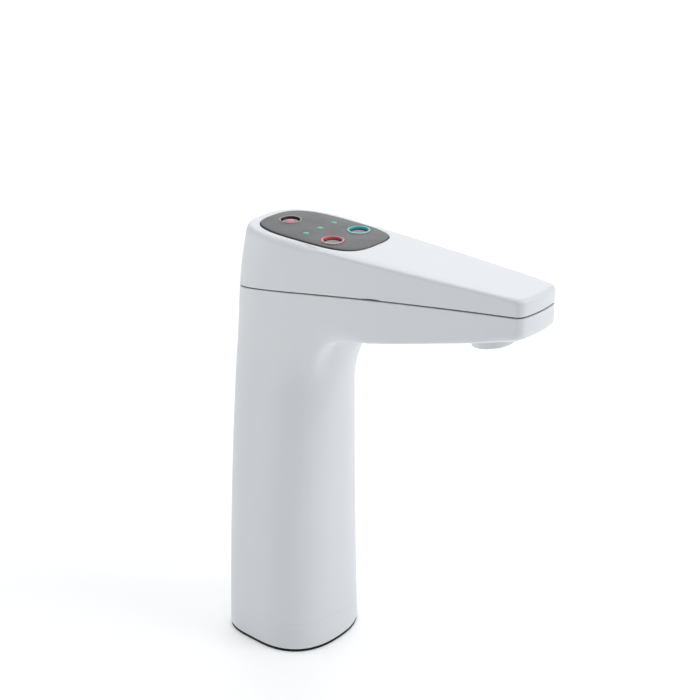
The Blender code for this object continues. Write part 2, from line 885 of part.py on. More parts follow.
def board(green, dark, black):
    low = BOARD_TOP - BOARD_THICK
    pcb = loft("circuit_board", [panel_ring(low, -2.1, 32), panel_ring(BOARD_TOP, -2.1, 32)], green)
    tray = loft(
        "board_carrier",
        [
            panel_ring(217.5, 0.2, 36),
            panel_ring(LEDGE_BOTTOM - 0.3, 0.2, 36),
            panel_ring(LEDGE_BOTTOM - 0.3, -1.5, 36),
            panel_ring(219.2, -1.5, 36),
        ],
        black,
    )
    for k, (x, y) in enumerate(POSTS):
        hole = turned(f"board_hole_{k + 1}", [(0, low - 1), (1.3, low - 1), (1.3, BOARD_TOP + 1), (0, BOARD_TOP + 1)], green, (x, y), 12)
        boolean(pcb, hole)
        rest = turned(f"carrier_rest_{k + 1}", [(0, 218.4), (2.6, 218.4), (2.6, low - 0.3), (0, low - 0.3)], black, (x, y), 12)
        boolean(tray, rest, "UNION")
    for k, (x, y) in enumerate(POSTS):
        bore = turned(f"carrier_bore_{k + 1}", [(0, 216.0), (1.35, 216.0), (1.35, 222.0), (0, 222.0)], black, (x, y), 12)
        boolean(tray, bore)
        turned(
            f"board_screw_{k + 1}",
            [(0, 215.5), (1.7, 215.5), (2.0, 215.9), (2.0, 217.2), (1.0, 217.2), (1.0, 227.2), (0, 227.8)],
            dark,
            (x, y),
            12,
        )
    window = block("connector_window", (-7.5, -5.5, 216.0), (3.5, 5.5, 221.0), black)
    boolean(tray, window)
    connector = block("board_connector", (-6.5, -4.5, 215.2), (2.5, 4.5, low - 0.3), dark)
    return connector


# ---------------------------------------------------------------- water way
def outlet(white, dark, steel, grey):
    nozzle = turned(
        "outlet_nozzle",
        [
            (0, -1.2),
            (5.5, -1.2),
            (5.5, -4.9),
            (8.6, -4.9),
            (FLANGE_RADIUS - 0.2, -4.4),
            (FLANGE_RADIUS, -3.8),
            (FLANGE_RADIUS, -0.3),
            (9.1, -0.3),
            (9.1, -1.3),
            (7.95, -1.3),
            (7.95, -0.3),
            (NECK_RADIUS, -0.3),
            (NECK_RADIUS, 6.4),
            (0, 6.4),
        ],
        white,
        (0, 0),
        28,
        matrix=OUTLET,
        wedge=(-3.0, 0.07),
    )
    for k, y in enumerate((-3.9, 3.9)):
        spigot = turned(
            f"outlet_spigot_{k + 1}", [(0, 5.0), (1.6, 5.0), (1.6, 11.0), (0, 11.0)], white, (0, 0), 12,
            matrix=OUTLET @ Matrix.Translation(Vector((0, y, 0))),
        )
        boolean(nozzle, spigot, "UNION")
    for k, y in enumerate((-3.9, 3.9)):
        bore = turned(
            f"outlet_bore_{k + 1}", [(0, -3.0), (1.0, -3.0), (1.0, 14.0), (0, 14.0)], white, (0, 0), 10,
            matrix=OUTLET @ Matrix.Translation(Vector((0, y, 0))),
        )
        boolean(nozzle, bore)
    insert = turned(
        "nozzle_insert", [(0, -1.5), (5.2, -1.5), (5.2, -4.3), (4.9, -4.6), (0, -4.6)], grey, (0, 0), 24, matrix=OUTLET, wedge=(-3.0, 0.07)
    )
    for k, y in enumerate((-2.6, 2.6)):
        hole = turned(
            f"insert_hole_{k + 1}", [(0, -6.0), (1.5, -6.0), (1.5, 0.0), (0, 0.0)], grey, (0, 0), 12,
            matrix=OUTLET @ Matrix.Translation(Vector((0, y, 0))),
        )
        boolean(insert, hole)
    seal_ring = [
        (8.52 + 0.38 * math.cos(2 * math.pi * k / 8), -0.72 + 0.42 * math.sin(2 * math.pi * k / 8)) for k in range(8)
    ]
    turned("nozzle_seal", seal_ring, dark, (0, 0), 24, loop=True, matrix=OUTLET)
    turned(
        "nozzle_nut",
        [(8.0, WALL + 0.4), (10.4, WALL + 0.4), (10.4, WALL + 3.2), (8.0, WALL + 3.2)],
        steel,
        (0, 0),
        24,
        loop=True,
        matrix=OUTLET,
    )


def water_tubes(hot, cold, steel, dark, brass):
    for name, side, mat in (("hot", 1, hot), ("chilled", -1, cold)):
        y = INLET_Y * side
        route = [
            (INLET_X, y, 22.6),
            (INLET_X, y, 60.0),
            (INLET_X, y, 110.0),
            (INLET_X, y, 160.0),
            (-0.5, y, 190.0),
            (14.0, y, 205.0),
            (40.0, 6.8 * side, 209.5),
            (80.0, 5.4 * side, 214.0),
            (98.0, 4.6 * side, 221.6),
            (106.0, 4.1 * side, 225.2),
            (113.0, 3.9 * side, 226.1),
            *(tuple(OUTLET @ Vector((0, 3.9 * side, up))) for up in (14.5, 10.5, 6.9)),
        ]
        tube_sweep(f"{name}_tube", route, 2.9, 1.95, 8, mat)
        turned(
            f"{name}_inlet_fitting",
            [
                (1.0, 2.0),
                (2.9, 2.0),
                (2.9, 11.0),
                (5.0, 11.0),
                (5.0, 18.0),
                (4.2, 19.0),
                (4.2, 22.0),
                (1.6, 22.0),
                (1.6, 30.0),
                (1.0, 30.0),
            ],
            steel,
            (INLET_X, y),
            16,
            loop=True,
        )


def loom(grey, dark):
    curve = bpy.data.curves.new("signal_cable", "CURVE")
    curve.dimensions = "3D"
    curve.bevel_depth = 1.5 * MM
    curve.bevel_resolution = 1
    curve.use_fill_caps = True
    route = [
        Vector(p)
        for p in (
            (SOCKET_X, 0, 15.4),
            (SOCKET_X, 0, 45.0),
            (SOCKET_X, 0, 90.0),
            (SOCKET_X, 0, 140.0),
            (6.5, 0, 180.0),
            (0.5, 0, 200.0),
            (-2.0, 0, 214.8),
        )
    ]
    points = []
    for k in range(len(route) - 1):
        p0, p1, p2, p3 = route[max(k - 1, 0)], route[k], route[k + 1], route[min(k + 2, len(route) - 1)]
        steps = 6
        for s in range(steps):
            t = s / steps
            points.append(
                0.5
                * (
                    2 * p1
                    + (p2 - p0) * t
                    + (2 * p0 - 5 * p1 + 4 * p2 - p3) * t * t
                    + (3 * p1 - p0 - 3 * p2 + p3) * t * t * t
                )
            )
    points.append(route[-1])
    spline = curve.splines.new("POLY")
    spline.points.add(len(points) - 1)
    for point, p in zip(spline.points, points):
        point.co = (p.x * MM, p.y * MM, p.z * MM, 1)
    curve.materials.append(grey)
    bpy.context.collection.objects.link(bpy.data.objects.new("signal_cable", curve))
    block("cable_socket", (SOCKET_X - 4.0, -4.2, 2.0), (SOCKET_X + 4.0, 4.2, 15.0), dark, 0.4)


def tube_guide(mat):
    z = 98.0
    ring = [(*front_point(d, z, WALL + 0.4), z) for d in range(0, 91, 10)]
    ring += [(*rear_point(d, z, WALL + 0.4), z) for d in range(80, -1, -10)]
    ring = [(x, y if abs(y) > 1e-6 else 0.0, h) for x, y, h in ring]
    ring += [(x, -y, h) for x, y, h in reversed(ring[1:-1])]
    top = [(x - 0.02 * (1 if x > 0 else -1), y * 0.985, z + 4.0) for x, y, _ in ring]
    guide = loft("tube_guide", [ring, top], mat)
    for name, x, y, r in (
        ("hot", INLET_X, INLET_Y, 3.25),
        ("chilled", INLET_X, -INLET_Y, 3.25),
        ("loom", SOCKET_X, 0.0, 1.9),
        ("left", 14.5, 12.5, 4.0),
        ("right", 14.5, -12.5, 4.0),
        ("back", -18.0, 0.0, 4.0),
    ):
        cutter = turned(f"guide_{name}", [(0, z - 2), (r, z - 2), (r, z + 6), (0, z + 6)], mat, (x, y), 16)
        boolean(guide, cutter)


# ---------------------------------------------------------------- foot
def oval(a, b, x0, z, expf, expb, count=36):
    out = []
    for k in range(count):
        t = 2 * math.pi * k / count
        e = 2 / (expf if math.cos(t) > 0 else expb)
        out.append((x0 + a * power(math.cos(t), e), b * power(math.sin(t), e), z))
    return out


def foot(steel, dark, screw):
    a, b = FOOT_HALF_DEPTH, FOOT_HALF_WIDTH
    low, high = SHELL_BOTTOM, SHELL_BOTTOM + PLATE_THICK
    plate = loft(
        "base_plate",
        [oval(a - 3.1, b - 3.1, 0, low, EXP_FRONT, EXP_BACK), oval(a - 3.1, b - 3.1, 0, high, EXP_FRONT, EXP_BACK)],
        steel,
    )
    passage = loft(
        "plate_passage", [oval(14.9, 14.9, -1, low - 1, 2.6, 2.6, 28), oval(14.9, 14.9, -1, high + 1, 2.6, 2.6, 28)], steel
    )
    boolean(plate, passage)
    for k, (x, y) in enumerate(FOOT_SCREWS):
        hole = turned(
            f"plate_hole_{k + 1}",
            [(0, low - 1), (3.6, low - 1), (3.6, low + 2.9), (1.6, low + 2.9), (1.6, high + 1), (0, high + 1)],
            steel,
            (x, y),
            16,
        )
        boolean(plate, hole)
        turned(
            f"base_screw_{k + 1}",
            [(0, low + 0.3), (3.0, low + 0.3), (3.2, low + 0.7), (3.2, low + 2.6), (1.2, low + 2.6), (1.2, 20.5), (0, 21.3)],
            screw,
            (x, y),
            12,
        )
    for k, x in enumerate((-20.9, 20.4)):
        stud = turned(f"stud_hole_{k + 1}", [(0, low - 1), (3.05, low - 1), (3.05, high + 1), (0, high + 1)], steel, (x, 0), 16, turn=0.5)
        boolean(plate, stud)

    gasket = loft(
        "base_gasket",
        [
            oval(a - 1.2, b - 1.2, 0, 0.0, EXP_FRONT, EXP_BACK),
            oval(a - 0.9, b - 0.9, 0, 0.3, EXP_FRONT, EXP_BACK),
            oval(a - 0.9, b - 0.9, 0, GASKET_THICK, EXP_FRONT, EXP_BACK),
        ],
        dark,
    )
    for k, (x, y, r) in enumerate(
        ((-20.9, 0.0, 3.4), (20.4, 0.0, 3.4), (INLET_X, INLET_Y, 4.6), (INLET_X, -INLET_Y, 4.6))
    ):
        cut = turned(f"gasket_hole_{k + 1}", [(0, -1), (r, -1), (r, 3), (0, 3)], dark, (x, y), 16, turn=0.5)
        boolean(gasket, cut)
    window = block("gasket_window", (SOCKET_X - 4.6, -4.8, -1.0), (SOCKET_X + 4.6, 4.8, 3.0), dark)
    boolean(gasket, window)

    grommet = loft(
        "base_grommet",
        [oval(14.5, 14.5, -1, low + 0.3, 2.6, 2.6, 28), oval(14.5, 14.5, -1, high, 2.6, 2.6, 28)],
        dark,
    )
    for k, y in enumerate((-INLET_Y, INLET_Y)):
        hole = turned(f"grommet_hole_{k + 1}", [(0, 0), (3.2, 0), (3.2, 12), (0, 12)], dark, (INLET_X, y), 16)
        boolean(grommet, hole)
    window = block("grommet_window", (SOCKET_X - 4.35, -4.55, 0.0), (SOCKET_X + 4.35, 4.55, 12.0), dark)
    boolean(grommet, window)


# ---------------------------------------------------------------- assembly
def main():
    clear_scene()
    white = material("white_gloss", (0.80, 0.81, 0.83), 0.25)
    grey = material("panel_grey", (0.20, 0.205, 0.205), 0.45)
    dark = material("black_rubber", (0.02, 0.02, 0.022), 0.6)
    red = material("red_light", (0.70, 0.10, 0.14), 0.3, emission=(0.8, 0.08, 0.12))
    teal = material("turquoise_light", (0.06, 0.45, 0.50), 0.3, emission=(0.05, 0.6, 0.65))
    plain = material("ring_grey", (0.16, 0.17, 0.165), 0.4)
    cap = material("cap_grey", (0.24, 0.245, 0.245), 0.45)
    clear = material("green_light", (0.10, 0.60, 0.38), 0.3, emission=(0.08, 0.7, 0.4))
    lamp = material("lamp", (0.8, 0.8, 0.6), 0.4)
    steel = material("steel", (0.45, 0.45, 0.46), 0.35, 1.0)
    screw = material("screw_steel", (0.35, 0.35, 0.36), 0.35, 1.0)
    spring = material("spring_steel", (0.5, 0.5, 0.52), 0.3, 1.0)
    green = material("board_green", (0.02, 0.16, 0.07), 0.5)
    black = material("black_plastic", (0.03, 0.03, 0.033), 0.5)
    hot = material("hot_silicone", (0.75, 0.30, 0.25), 0.5)
    cold = material("chilled_tube_blue", (0.25, 0.45, 0.70), 0.4)
    cable = material("cable_grey", (0.35, 0.35, 0.36), 0.5)
    LENS[:] = [red, lamp]

    body_shell(white)
    top_cover(white)
    joint_seal(dark)
    control_panel(grey, dark)
    button_set("boil", BOIL_XY, red, cap, black, spring)
    button_set("chilled", CHILLED_XY, teal, cap, black, spring)
    button_set("safety_button", SAFETY_XY, plain, cap, black, spring)
    lamps(clear, lamp)
    board(green, screw, black)
    outlet(white, dark, steel, plain)
    water_tubes(hot, cold, steel, dark, steel)
    loom(cable, black)
    tube_guide(black)
    foot(steel, dark, screw)

    assembly = bpy.data.objects.new("dispenser", None)
    bpy.context.collection.objects.link(assembly)
    for obj in list(bpy.data.objects):
        if obj is not assembly and obj.parent is None:
            obj.parent = assembly


main()
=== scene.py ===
"""Looks of the boiling water dispenser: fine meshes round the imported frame, and
procedural finishes for every piece. Lengths below are millimetres, as in the
design, and become metres when a mesh is made."""

import json
import math

import bmesh
import bpy
import numpy as np
from mathutils import Matrix, Vector

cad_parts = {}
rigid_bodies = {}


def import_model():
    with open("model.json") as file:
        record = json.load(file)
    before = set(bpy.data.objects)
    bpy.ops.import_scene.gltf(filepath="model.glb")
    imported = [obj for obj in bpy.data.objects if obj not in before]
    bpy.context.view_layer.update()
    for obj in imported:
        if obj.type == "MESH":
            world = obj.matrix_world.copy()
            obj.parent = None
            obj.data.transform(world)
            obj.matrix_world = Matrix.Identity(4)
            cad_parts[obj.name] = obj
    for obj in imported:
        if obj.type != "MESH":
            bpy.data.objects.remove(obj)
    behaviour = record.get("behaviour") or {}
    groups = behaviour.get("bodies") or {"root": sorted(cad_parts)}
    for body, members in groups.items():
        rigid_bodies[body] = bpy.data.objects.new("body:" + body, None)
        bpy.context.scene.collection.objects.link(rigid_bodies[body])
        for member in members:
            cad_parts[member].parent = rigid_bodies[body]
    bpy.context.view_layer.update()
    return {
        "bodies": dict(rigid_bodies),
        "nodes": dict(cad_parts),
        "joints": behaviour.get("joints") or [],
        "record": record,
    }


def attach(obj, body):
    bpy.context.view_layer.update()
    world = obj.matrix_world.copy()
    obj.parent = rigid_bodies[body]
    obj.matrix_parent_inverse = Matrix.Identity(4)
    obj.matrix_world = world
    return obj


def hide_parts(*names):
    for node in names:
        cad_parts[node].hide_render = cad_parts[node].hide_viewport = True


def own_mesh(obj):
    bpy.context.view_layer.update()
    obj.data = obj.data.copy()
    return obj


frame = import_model()
NODES = frame["nodes"]
MM = 0.001

# ---------------------------------------------------------------- camera
camera_data = bpy.data.cameras.new("camera")
camera_data.sensor_width = 36.0
camera_data.lens = 79.24633
camera_data.clip_start = 0.02
camera_data.clip_end = 50.0
camera = bpy.data.objects.new("camera", camera_data)
camera.location = (0.4933455, -0.5356577, 0.4813639)
camera.rotation_euler = (math.radians(90.0 - 23.629732), 0.0, math.radians(40.364865))
bpy.context.scene.collection.objects.link(camera)
bpy.context.scene.camera = camera

# ---------------------------------------------------------------- dimensions
FOOT_HALF_DEPTH = 30.5
FOOT_HALF_WIDTH = 32.0
HEAD_HALF_WIDTH = 24.3
HEAD_CENTRE = 15.0
REF_HEIGHT = 198.6
EXP_FRONT = 2.4
EXP_BACK = 4.0
EXP_TOP = 2.6
WALL = 2.4
TOP_Z = 233.0
EDGE_DROP = 0.4
TIP_X = 149.7
TIP_BOW = 1.35
TIP_CORNER = 4.6
EDGE = 1.9
TOP_EDGE = 1.7
PANEL_EDGE = 3.4
TIP_EDGE = 2.7
JOINT_GAP = 0.76
REBATE = 1.2
REBATE_Z = 1.1
FILLET = 8.0

PANEL_X = 20.75
PANEL_HALF_LENGTH = 33.85
PANEL_HALF_WIDTH = 18.95
PANEL_EXP = 3.5
PANEL_EXP_REAR = 2.9
PANEL_TAPER = 0.02
PANEL_TOP = 233.6
PANEL_THICK = 2.2
PANEL_GAP = 0.35
LEDGE_Z = 230.1
LEDGE_WIDTH = 2.2
LEDGE_BOTTOM = 227.4
LIP = 0.7

BOIL_XY = (35.4, -9.7)
CHILLED_XY = (35.4, 9.7)
SAFETY_XY = (-0.8, 0.0)
RING_OUTER = 5.4
RING_INNER = 4.5
CAP_RADIUS = 4.15
CAP_TOP = 232.0
LAMP_X = 18.9
LAMP_Y = (-10.3, 0.0, 10.3)
POSTS = ((8.0, 13.0), (8.0, -13.0), (26.6, 0.0), (48.0, 0.0))
BOARD_TOP = 222.2

OUTLET_X = 122.5
FLANGE_RADIUS = 9.4
NECK_RADIUS = 7.7

GASKET_THICK = 1.55
SHELL_BOTTOM = 1.65
INLET_X = -5.0
INLET_Y = 7.2
SOCKET_X = 8.0
FOOT_SCREWS = ((18.6, 19.4), (18.6, -19.4), (-21.2, 22.2), (-21.2, -22.2))


# ---------------------------------------------------------------- shape rules
def section(z):
    """Front reach, rear reach, half-width and centre of a section at a height."""
    h = z / REF_HEIGHT
    a = FOOT_HALF_DEPTH - 1.98 * h
    mid = -0.44 * h + 5.85 * h * h
    xc = mid + (HEAD_CENTRE - mid) * smooth(150.0, 205.0, z)
    over = FOOT_HALF_WIDTH - 5.41 * h - 4.3 * h * h - HEAD_HALF_WIDTH
    b = HEAD_HALF_WIDTH + 0.5 * (over + math.sqrt(over * over + 0.1))
    return mid + a - xc, xc - mid + a, b, xc


def taper(x):
    d = max(0.0, x - 18.0)
    return 0.052 * d + 0.00020 * d * d


def joint_z(x):
    return 203.6 + 0.178 * x - 0.00026 * x * x


def under_z(x):
    return 191.9 + 0.26 * (x - 67.6)


def smooth(lo, hi, v):
    """0 at lo, 1 at hi, whichever is greater."""
    t = min(1.0, max(0.0, (v - lo) / (hi - lo)))
    return t * t * (3 - 2 * t)


def power(v, p):
    return math.copysign(abs(v) ** p, v)


def front_point(deg, z, inset):
    a, _, b, xc = section(z)
    t = math.radians(deg)
    return (
        xc + (a - inset) * power(math.cos(t), 2 / EXP_FRONT),
        (b - inset) * power(math.sin(t), 2 / EXP_FRONT),
    )


def rear_point(deg, z, inset):
    _, a, b, xc = section(z)
    t = math.radians(deg)
    e = 2 / (EXP_BACK + (EXP_TOP - EXP_BACK) * smooth(198.0, 236.0, z))
    return xc - (a - inset) * power(math.cos(t), e), (b - inset) * power(math.sin(t), e)


def side_y(x, z, inset):
    return section(z)[2] - taper(x) - inset


class Lines:
    """The lines that run up the casing: angles round the column and stations
    along the spout. fine puts one more between each two."""

    def __init__(self, fine):
        def more(values):
            if not fine:
                return list(values)
            out = []
            for p, q in zip(values, values[1:]):
                out += [p, (p + q) / 2]
            return out + [values[-1]]

        side = more([47.0, 57.0, 68.0, 79.0, 90.0])[:-1]
        head = more([38.5, 32.0, 26.0, 20.5, 15.0])[:-1]
        self.side = list(zip(side, head))
        self.rear = more([90.0, 80.0, 70.0, 60.0, 50.0, 40.0, 30.0, 20.0, 10.0, 0.0])
        self.front = 9 if fine else 5
        self.arc = 5 if fine else 2
        self.stations = more([50.0, 60.0, 71.0, 82.0, 94.0, 106.0, 117.0, 128.0, 137.0])


COARSE = Lines(False)
FINE = Lines(True)


def wall_points(z, inset, lines=COARSE):
    """Half a ring of points from the front corner to the back centre."""
    out = []
    for deg, head_x in lines.side:
        height = z(head_x) if callable(z) else z
        low = front_point(deg, height, inset)
        high = (head_x, side_y(head_x, height, inset))
        w = min(1.0, max(0.0, (height - 158.5) / 29.5)) ** 1.15
        out.append((low[0] + (high[0] - low[0]) * w, low[1] + (high[1] - low[1]) * w, height))
    for deg in lines.rear:
        height = z(rear_point(deg, 205.0, inset)[0]) if callable(z) else z
        x, y = rear_point(deg, height, inset)
        out.append((x, y if deg else 0.0, height))
    return out


def tip_corner(height):
    """Centre of the vertical rounding at the tip's corner and the angles where it
    meets the bowed front and the side wall."""
    cx, cy = TIP_X - TIP_CORNER, side_y(TIP_X, height, 0) - TIP_CORNER
    for _ in range(12):
        slope = 0.052 + 0.0004 * (cx - 18.0)
        beta = math.atan(slope)
        gamma = math.atan(2 * TIP_BOW * (cy + 1.0) / 144.0)
        cy = side_y(cx + TIP_CORNER * math.sin(beta), height, 0) - TIP_CORNER * math.cos(beta)
        y = cy + TIP_CORNER * math.sin(gamma)
        cx = TIP_X - TIP_BOW * (y / 12.0) ** 2 - TIP_CORNER * math.cos(gamma)
    return cx, cy, gamma, math.pi / 2 - beta


def spout_points(z, inset, lines=COARSE):
    """Half a ring of points along the spout, from the tip's centre back to the
    first station."""
    cx, cy, gamma, delta = tip_corner(z(TIP_X))
    r = TIP_CORNER - inset
    y_end = cy + r * math.sin(gamma)
    x_end = cx + r * math.cos(gamma)
    full = cy + TIP_CORNER * math.sin(gamma)
    out = []
    n = lines.front
    for k in range(n):
        y = y_end * k / (n - 1)
        yy = full * k / (n - 1)
        x = TIP_X - TIP_BOW * (yy / 12.0) ** 2 - inset
        x += (x_end - (TIP_X - TIP_BOW * (full / 12.0) ** 2 - inset)) * (k / (n - 1)) ** 2
        out.append((x, y, z(x)))
    m = lines.arc + 1
    for j in range(1, m + 1):
        ang = gamma + (delta - gamma) * j / m
        x, y = cx + r * math.cos(ang), cy + r * math.sin(ang)
        out.append((x, y, z(x)))
    for x in reversed(lines.stations):
        out.append((x, side_y(x, z(x), inset), z(x)))
    return out


def head_ring(z, inset, lines=COARSE):
    half = spout_points(z, inset, lines) + wall_points(z, inset, lines)
    return half + [(x, -y, h) for x, y, h in reversed(half[1:-1])]


def panel_ring(z, grow, count=44):
    out = []
    for k in range(count):
        t = 2 * math.pi * k / count
        e = 2 / (PANEL_EXP if math.cos(t) > 0 else PANEL_EXP_REAR)
        u = power(math.cos(t), e)
        v = power(math.sin(t), e) * (1 - PANEL_TAPER * u)
        out.append((PANEL_X + (PANEL_HALF_LENGTH + grow) * u, (PANEL_HALF_WIDTH + grow) * v, z))
    return out


def even_panel_ring(z, grow, count):
    """The same outline with its points evenly spaced."""
    dense = [Vector(p) for p in panel_ring(z, grow, 1440)]
    dense.append(dense[0])
    run = [0.0]
    for p, q in zip(dense, dense[1:]):
        run.append(run[-1] + (q - p).length)
    out, k = [], 0
    for j in range(count):
        s = run[-1] * j / count
        while run[k + 1] < s:
            k += 1
        t = (s - run[k]) / (run[k + 1] - run[k])
        out.append(tuple(dense[k].lerp(dense[k + 1], t)))
    return out


def matched_panel(outline, grow):
    """Points of the panel's outline in step with the head's outline."""
    dense = panel_ring(0.0, grow, 1440)
    angles = np.array([math.atan2(p[1] / PANEL_HALF_WIDTH, (p[0] - PANEL_X) / PANEL_HALF_LENGTH) for p in dense])
    out = []
    for x, y, _ in outline:
        px = (x - PANEL_X) / (TIP_X - PANEL_X) * PANEL_HALF_LENGTH if x > PANEL_X else x - PANEL_X
        ang = math.atan2(y / PANEL_HALF_WIDTH, px / PANEL_HALF_LENGTH)
        off = np.abs((angles - ang + math.pi) % (2 * math.pi) - math.pi)
        out.append(dense[int(off.argmin())])
    return out


def arc_rows(radius, steps):
    """(inset, rise) rows of a quarter round from a wall to a flat."""
    return [
        (radius * (1 - math.cos(a)), radius * math.sin(a))
        for a in (math.pi / 2 * k / steps for k in range(steps + 1))
    ]


# ---------------------------------------------------------------- mesh helpers
def make_object(name, bm, mat, scale=MM):
    bmesh.ops.remove_doubles(bm, verts=bm.verts, dist=1e-4)
    bmesh.ops.recalc_face_normals(bm, faces=bm.faces)
    for v in bm.verts:
        v.co *= scale
    mesh = bpy.data.meshes.new(name)
    bm.to_mesh(mesh)
    bm.free()
    if mat:
        mesh.materials.append(mat)
    mesh.shade_smooth()
    obj = bpy.data.objects.new(name, mesh)
    bpy.context.scene.collection.objects.link(obj)
    return obj


def bake(obj, sharp=None):
    """Turns the object's modifiers into its mesh."""
    bpy.context.view_layer.update()
    graph = bpy.context.evaluated_depsgraph_get()
    mesh = bpy.data.meshes.new_from_object(obj.evaluated_get(graph))
    old = obj.data
    obj.modifiers.clear()
    obj.data = mesh
    bpy.data.meshes.remove(old)
    mesh.name = obj.name
    mesh.shade_smooth()
    if sharp:
        mesh.set_sharp_from_angle(angle=math.radians(sharp))
    return obj


def coordinates(mesh):
    co = np.empty(len(mesh.vertices) * 3, np.float32)
    mesh.vertices.foreach_get("co", co)
    return co.reshape(-1, 3).astype(float)


def subdivide(obj, levels, passes=4):
    """Subdivides a cage so that the smooth surface runs through the cage's own
    points, then keeps the fine mesh."""
    mesh = obj.data
    goal = coordinates(mesh)
    cage = goal.copy()
    modifier = obj.modifiers.new("smooth", "SUBSURF")
    modifier.levels = modifier.render_levels = 1
    for _ in range(passes):
        bpy.context.view_layer.update()
        graph = bpy.context.evaluated_depsgraph_get()
        seen = obj.evaluated_get(graph)
        fine = seen.to_mesh()
        limit = coordinates(fine)[: len(goal)]
        seen.to_mesh_clear()
        cage += 0.85 * (goal - limit)
        mesh.vertices.foreach_set("co", cage.astype(np.float32).ravel())
        mesh.update()
    modifier.levels = modifier.render_levels = levels
    return bake(obj)


def crease(obj, near, value=1.0):
    """Creases the edges whose two ends near() accepts (coordinates in mm)."""
    mesh = obj.data
    layer = mesh.attributes.get("crease_edge") or mesh.attributes.new("crease_edge", "FLOAT", "EDGE")
    flags = [near(v.co / MM) for v in mesh.vertices]
    for edge in mesh.edges:
        a, b = edge.vertices
        if flags[a] and flags[b]:
            layer.data[edge.index].value = value


def loft(name, rings, mat, loop=False, matrix=None, sharp=None):
    bm = bmesh.new()
    rows = [[bm.verts.new(p) for p in ring] for ring in rings]
    pairs = list(zip(rows, rows[1:]))
    if loop:
        pairs.append((rows[-1], rows[0]))
    for low, high in pairs:
        n = max(len(low), len(high))
        for k in range(n):
            m = (k + 1) % n
            if len(low) == 1:
                bm.faces.new((low[0], high[m], high[k]))
            elif len(high) == 1:
                bm.faces.new((low[k], low[m], high[0]))
            else:
                bm.faces.new((low[k], low[m], high[m], high[k]))
    if not loop:
        for ring in (rows[0], rows[-1]):
            if len(ring) > 2:
                bm.faces.new(ring)
    if matrix is not None:
        bmesh.ops.transform(bm, matrix=matrix, verts=bm.verts)
    obj = make_object(name, bm, mat)
    if sharp:
        obj.data.set_sharp_from_angle(angle=math.radians(sharp))
    return obj


def rounded(points, loop=False, steps=5):
    """A profile of (radius, height, rounding) corners as (radius, height) points."""
    out = []
    n = len(points)
    for k, (r, z, rr) in enumerate(points):
        if not rr or (not loop and k in (0, n - 1)):
            out.append((r, z))
            continue
        p = Vector((r, z))
        a = Vector(points[k - 1][:2]) - p
        b = Vector(points[(k + 1) % n][:2]) - p
        la, lb = a.length, b.length
        a.normalize()
        b.normalize()
        half = 0.5 * math.acos(max(-1.0, min(1.0, a.dot(b))))
        if half > math.radians(88):
            out.append((r, z))
            continue
        reach = min(rr / math.tan(half), 0.49 * la, 0.49 * lb)
        rr = reach * math.tan(half)
        centre = p + (a + b).normalized() * (rr / math.sin(half))
        start, end = p + a * reach - centre, p + b * reach - centre
        turn = math.atan2(start.x * end.y - start.y * end.x, start.dot(end))
        for j in range(steps + 1):
            ang = turn * j / steps
            c, s = math.cos(ang), math.sin(ang)
            q = centre + Vector((start.x * c - start.y * s, start.x * s + start.y * c))
            out.append((max(q.x, 0.0), q.y))
    return out


def turned(name, profile, mat, centre=(0, 0), count=72, loop=False, matrix=None, wedge=None, sharp=50):
    cx, cy = centre
    rings = []
    for r, z in profile:
        if r < 1e-6:
            rings.append([(cx, cy, z)])
        else:
            rings.append(
                [
                    (cx + r * math.cos(2 * math.pi * k / count), cy + r * math.sin(2 * math.pi * k / count), z)
                    for k in range(count)
                ]
            )
    if wedge:
        rings = [[(x, y, z - wedge[1] * (x - cx) if z < wedge[0] else z) for x, y, z in ring] for ring in rings]
    return loft(name, rings, mat, loop, matrix, sharp)


def block(name, low, high, mat, chamfer=0.0, segments=2):
    bm = bmesh.new()
    bmesh.ops.create_cube(bm, size=1.0)
    for v in bm.verts:
        v.co = Vector([(h + l) / 2 + (h - l) * c for l, h, c in zip(low, high, v.co)])
    obj = make_object(name, bm, mat)
    if chamfer:
        bevel = obj.modifiers.new("edges", "BEVEL")
        bevel.width = chamfer * MM
        bevel.segments = segments
        bake(obj, 40)
    return obj


def boolean(obj, tools, operation="DIFFERENCE", sharp=40):
    """Applies each tool and removes it."""
    for tool in tools if isinstance(tools, (list, tuple)) else [tools]:
        modifier = obj.modifiers.new("cut", "BOOLEAN")
        modifier.operation = operation
        modifier.solver = "EXACT"
        modifier.object = tool
        bake(obj, sharp)
        bpy.data.objects.remove(tool)
    return obj


def sweep(name, route, outer, inner, sides, mat, step=4.0, side=(0, 1, 0)):
    """A hollow or solid tube along a smooth curve through the route's points."""
    points = []
    n = len(route)
    for k in range(n - 1):
        p0, p1 = Vector(route[max(k - 1, 0)]), Vector(route[k])
        p2, p3 = Vector(route[k + 1]), Vector(route[min(k + 2, n - 1)])
        steps = max(2, round((p2 - p1).length / step))
        for s in range(steps):
            t = s / steps
            points.append(
                0.5
                * (
                    2 * p1
                    + (p2 - p0) * t
                    + (2 * p0 - 5 * p1 + 4 * p2 - p3) * t * t
                    + (3 * p1 - p0 - 3 * p2 + p3) * t * t * t
                )
            )
    points.append(Vector(route[-1]))
    frames = []
    for k, p in enumerate(points):
        ahead = (points[min(k + 1, len(points) - 1)] - points[max(k - 1, 0)]).normalized()
        across = Vector(side)
        across = (across - ahead * across.dot(ahead)).normalized()
        frames.append((p, across, ahead.cross(across)))

    def ring(frame, radius):
        p, u, v = frame
        return [
            tuple(p + radius * (math.cos(2 * math.pi * j / sides) * u + math.sin(2 * math.pi * j / sides) * v))
            for j in range(sides)
        ]

    rings = [ring(f, outer) for f in frames]
    if inner:
        rings += [ring(f, inner) for f in reversed(frames)]
    return loft(name, rings, mat, loop=bool(inner), sharp=50)


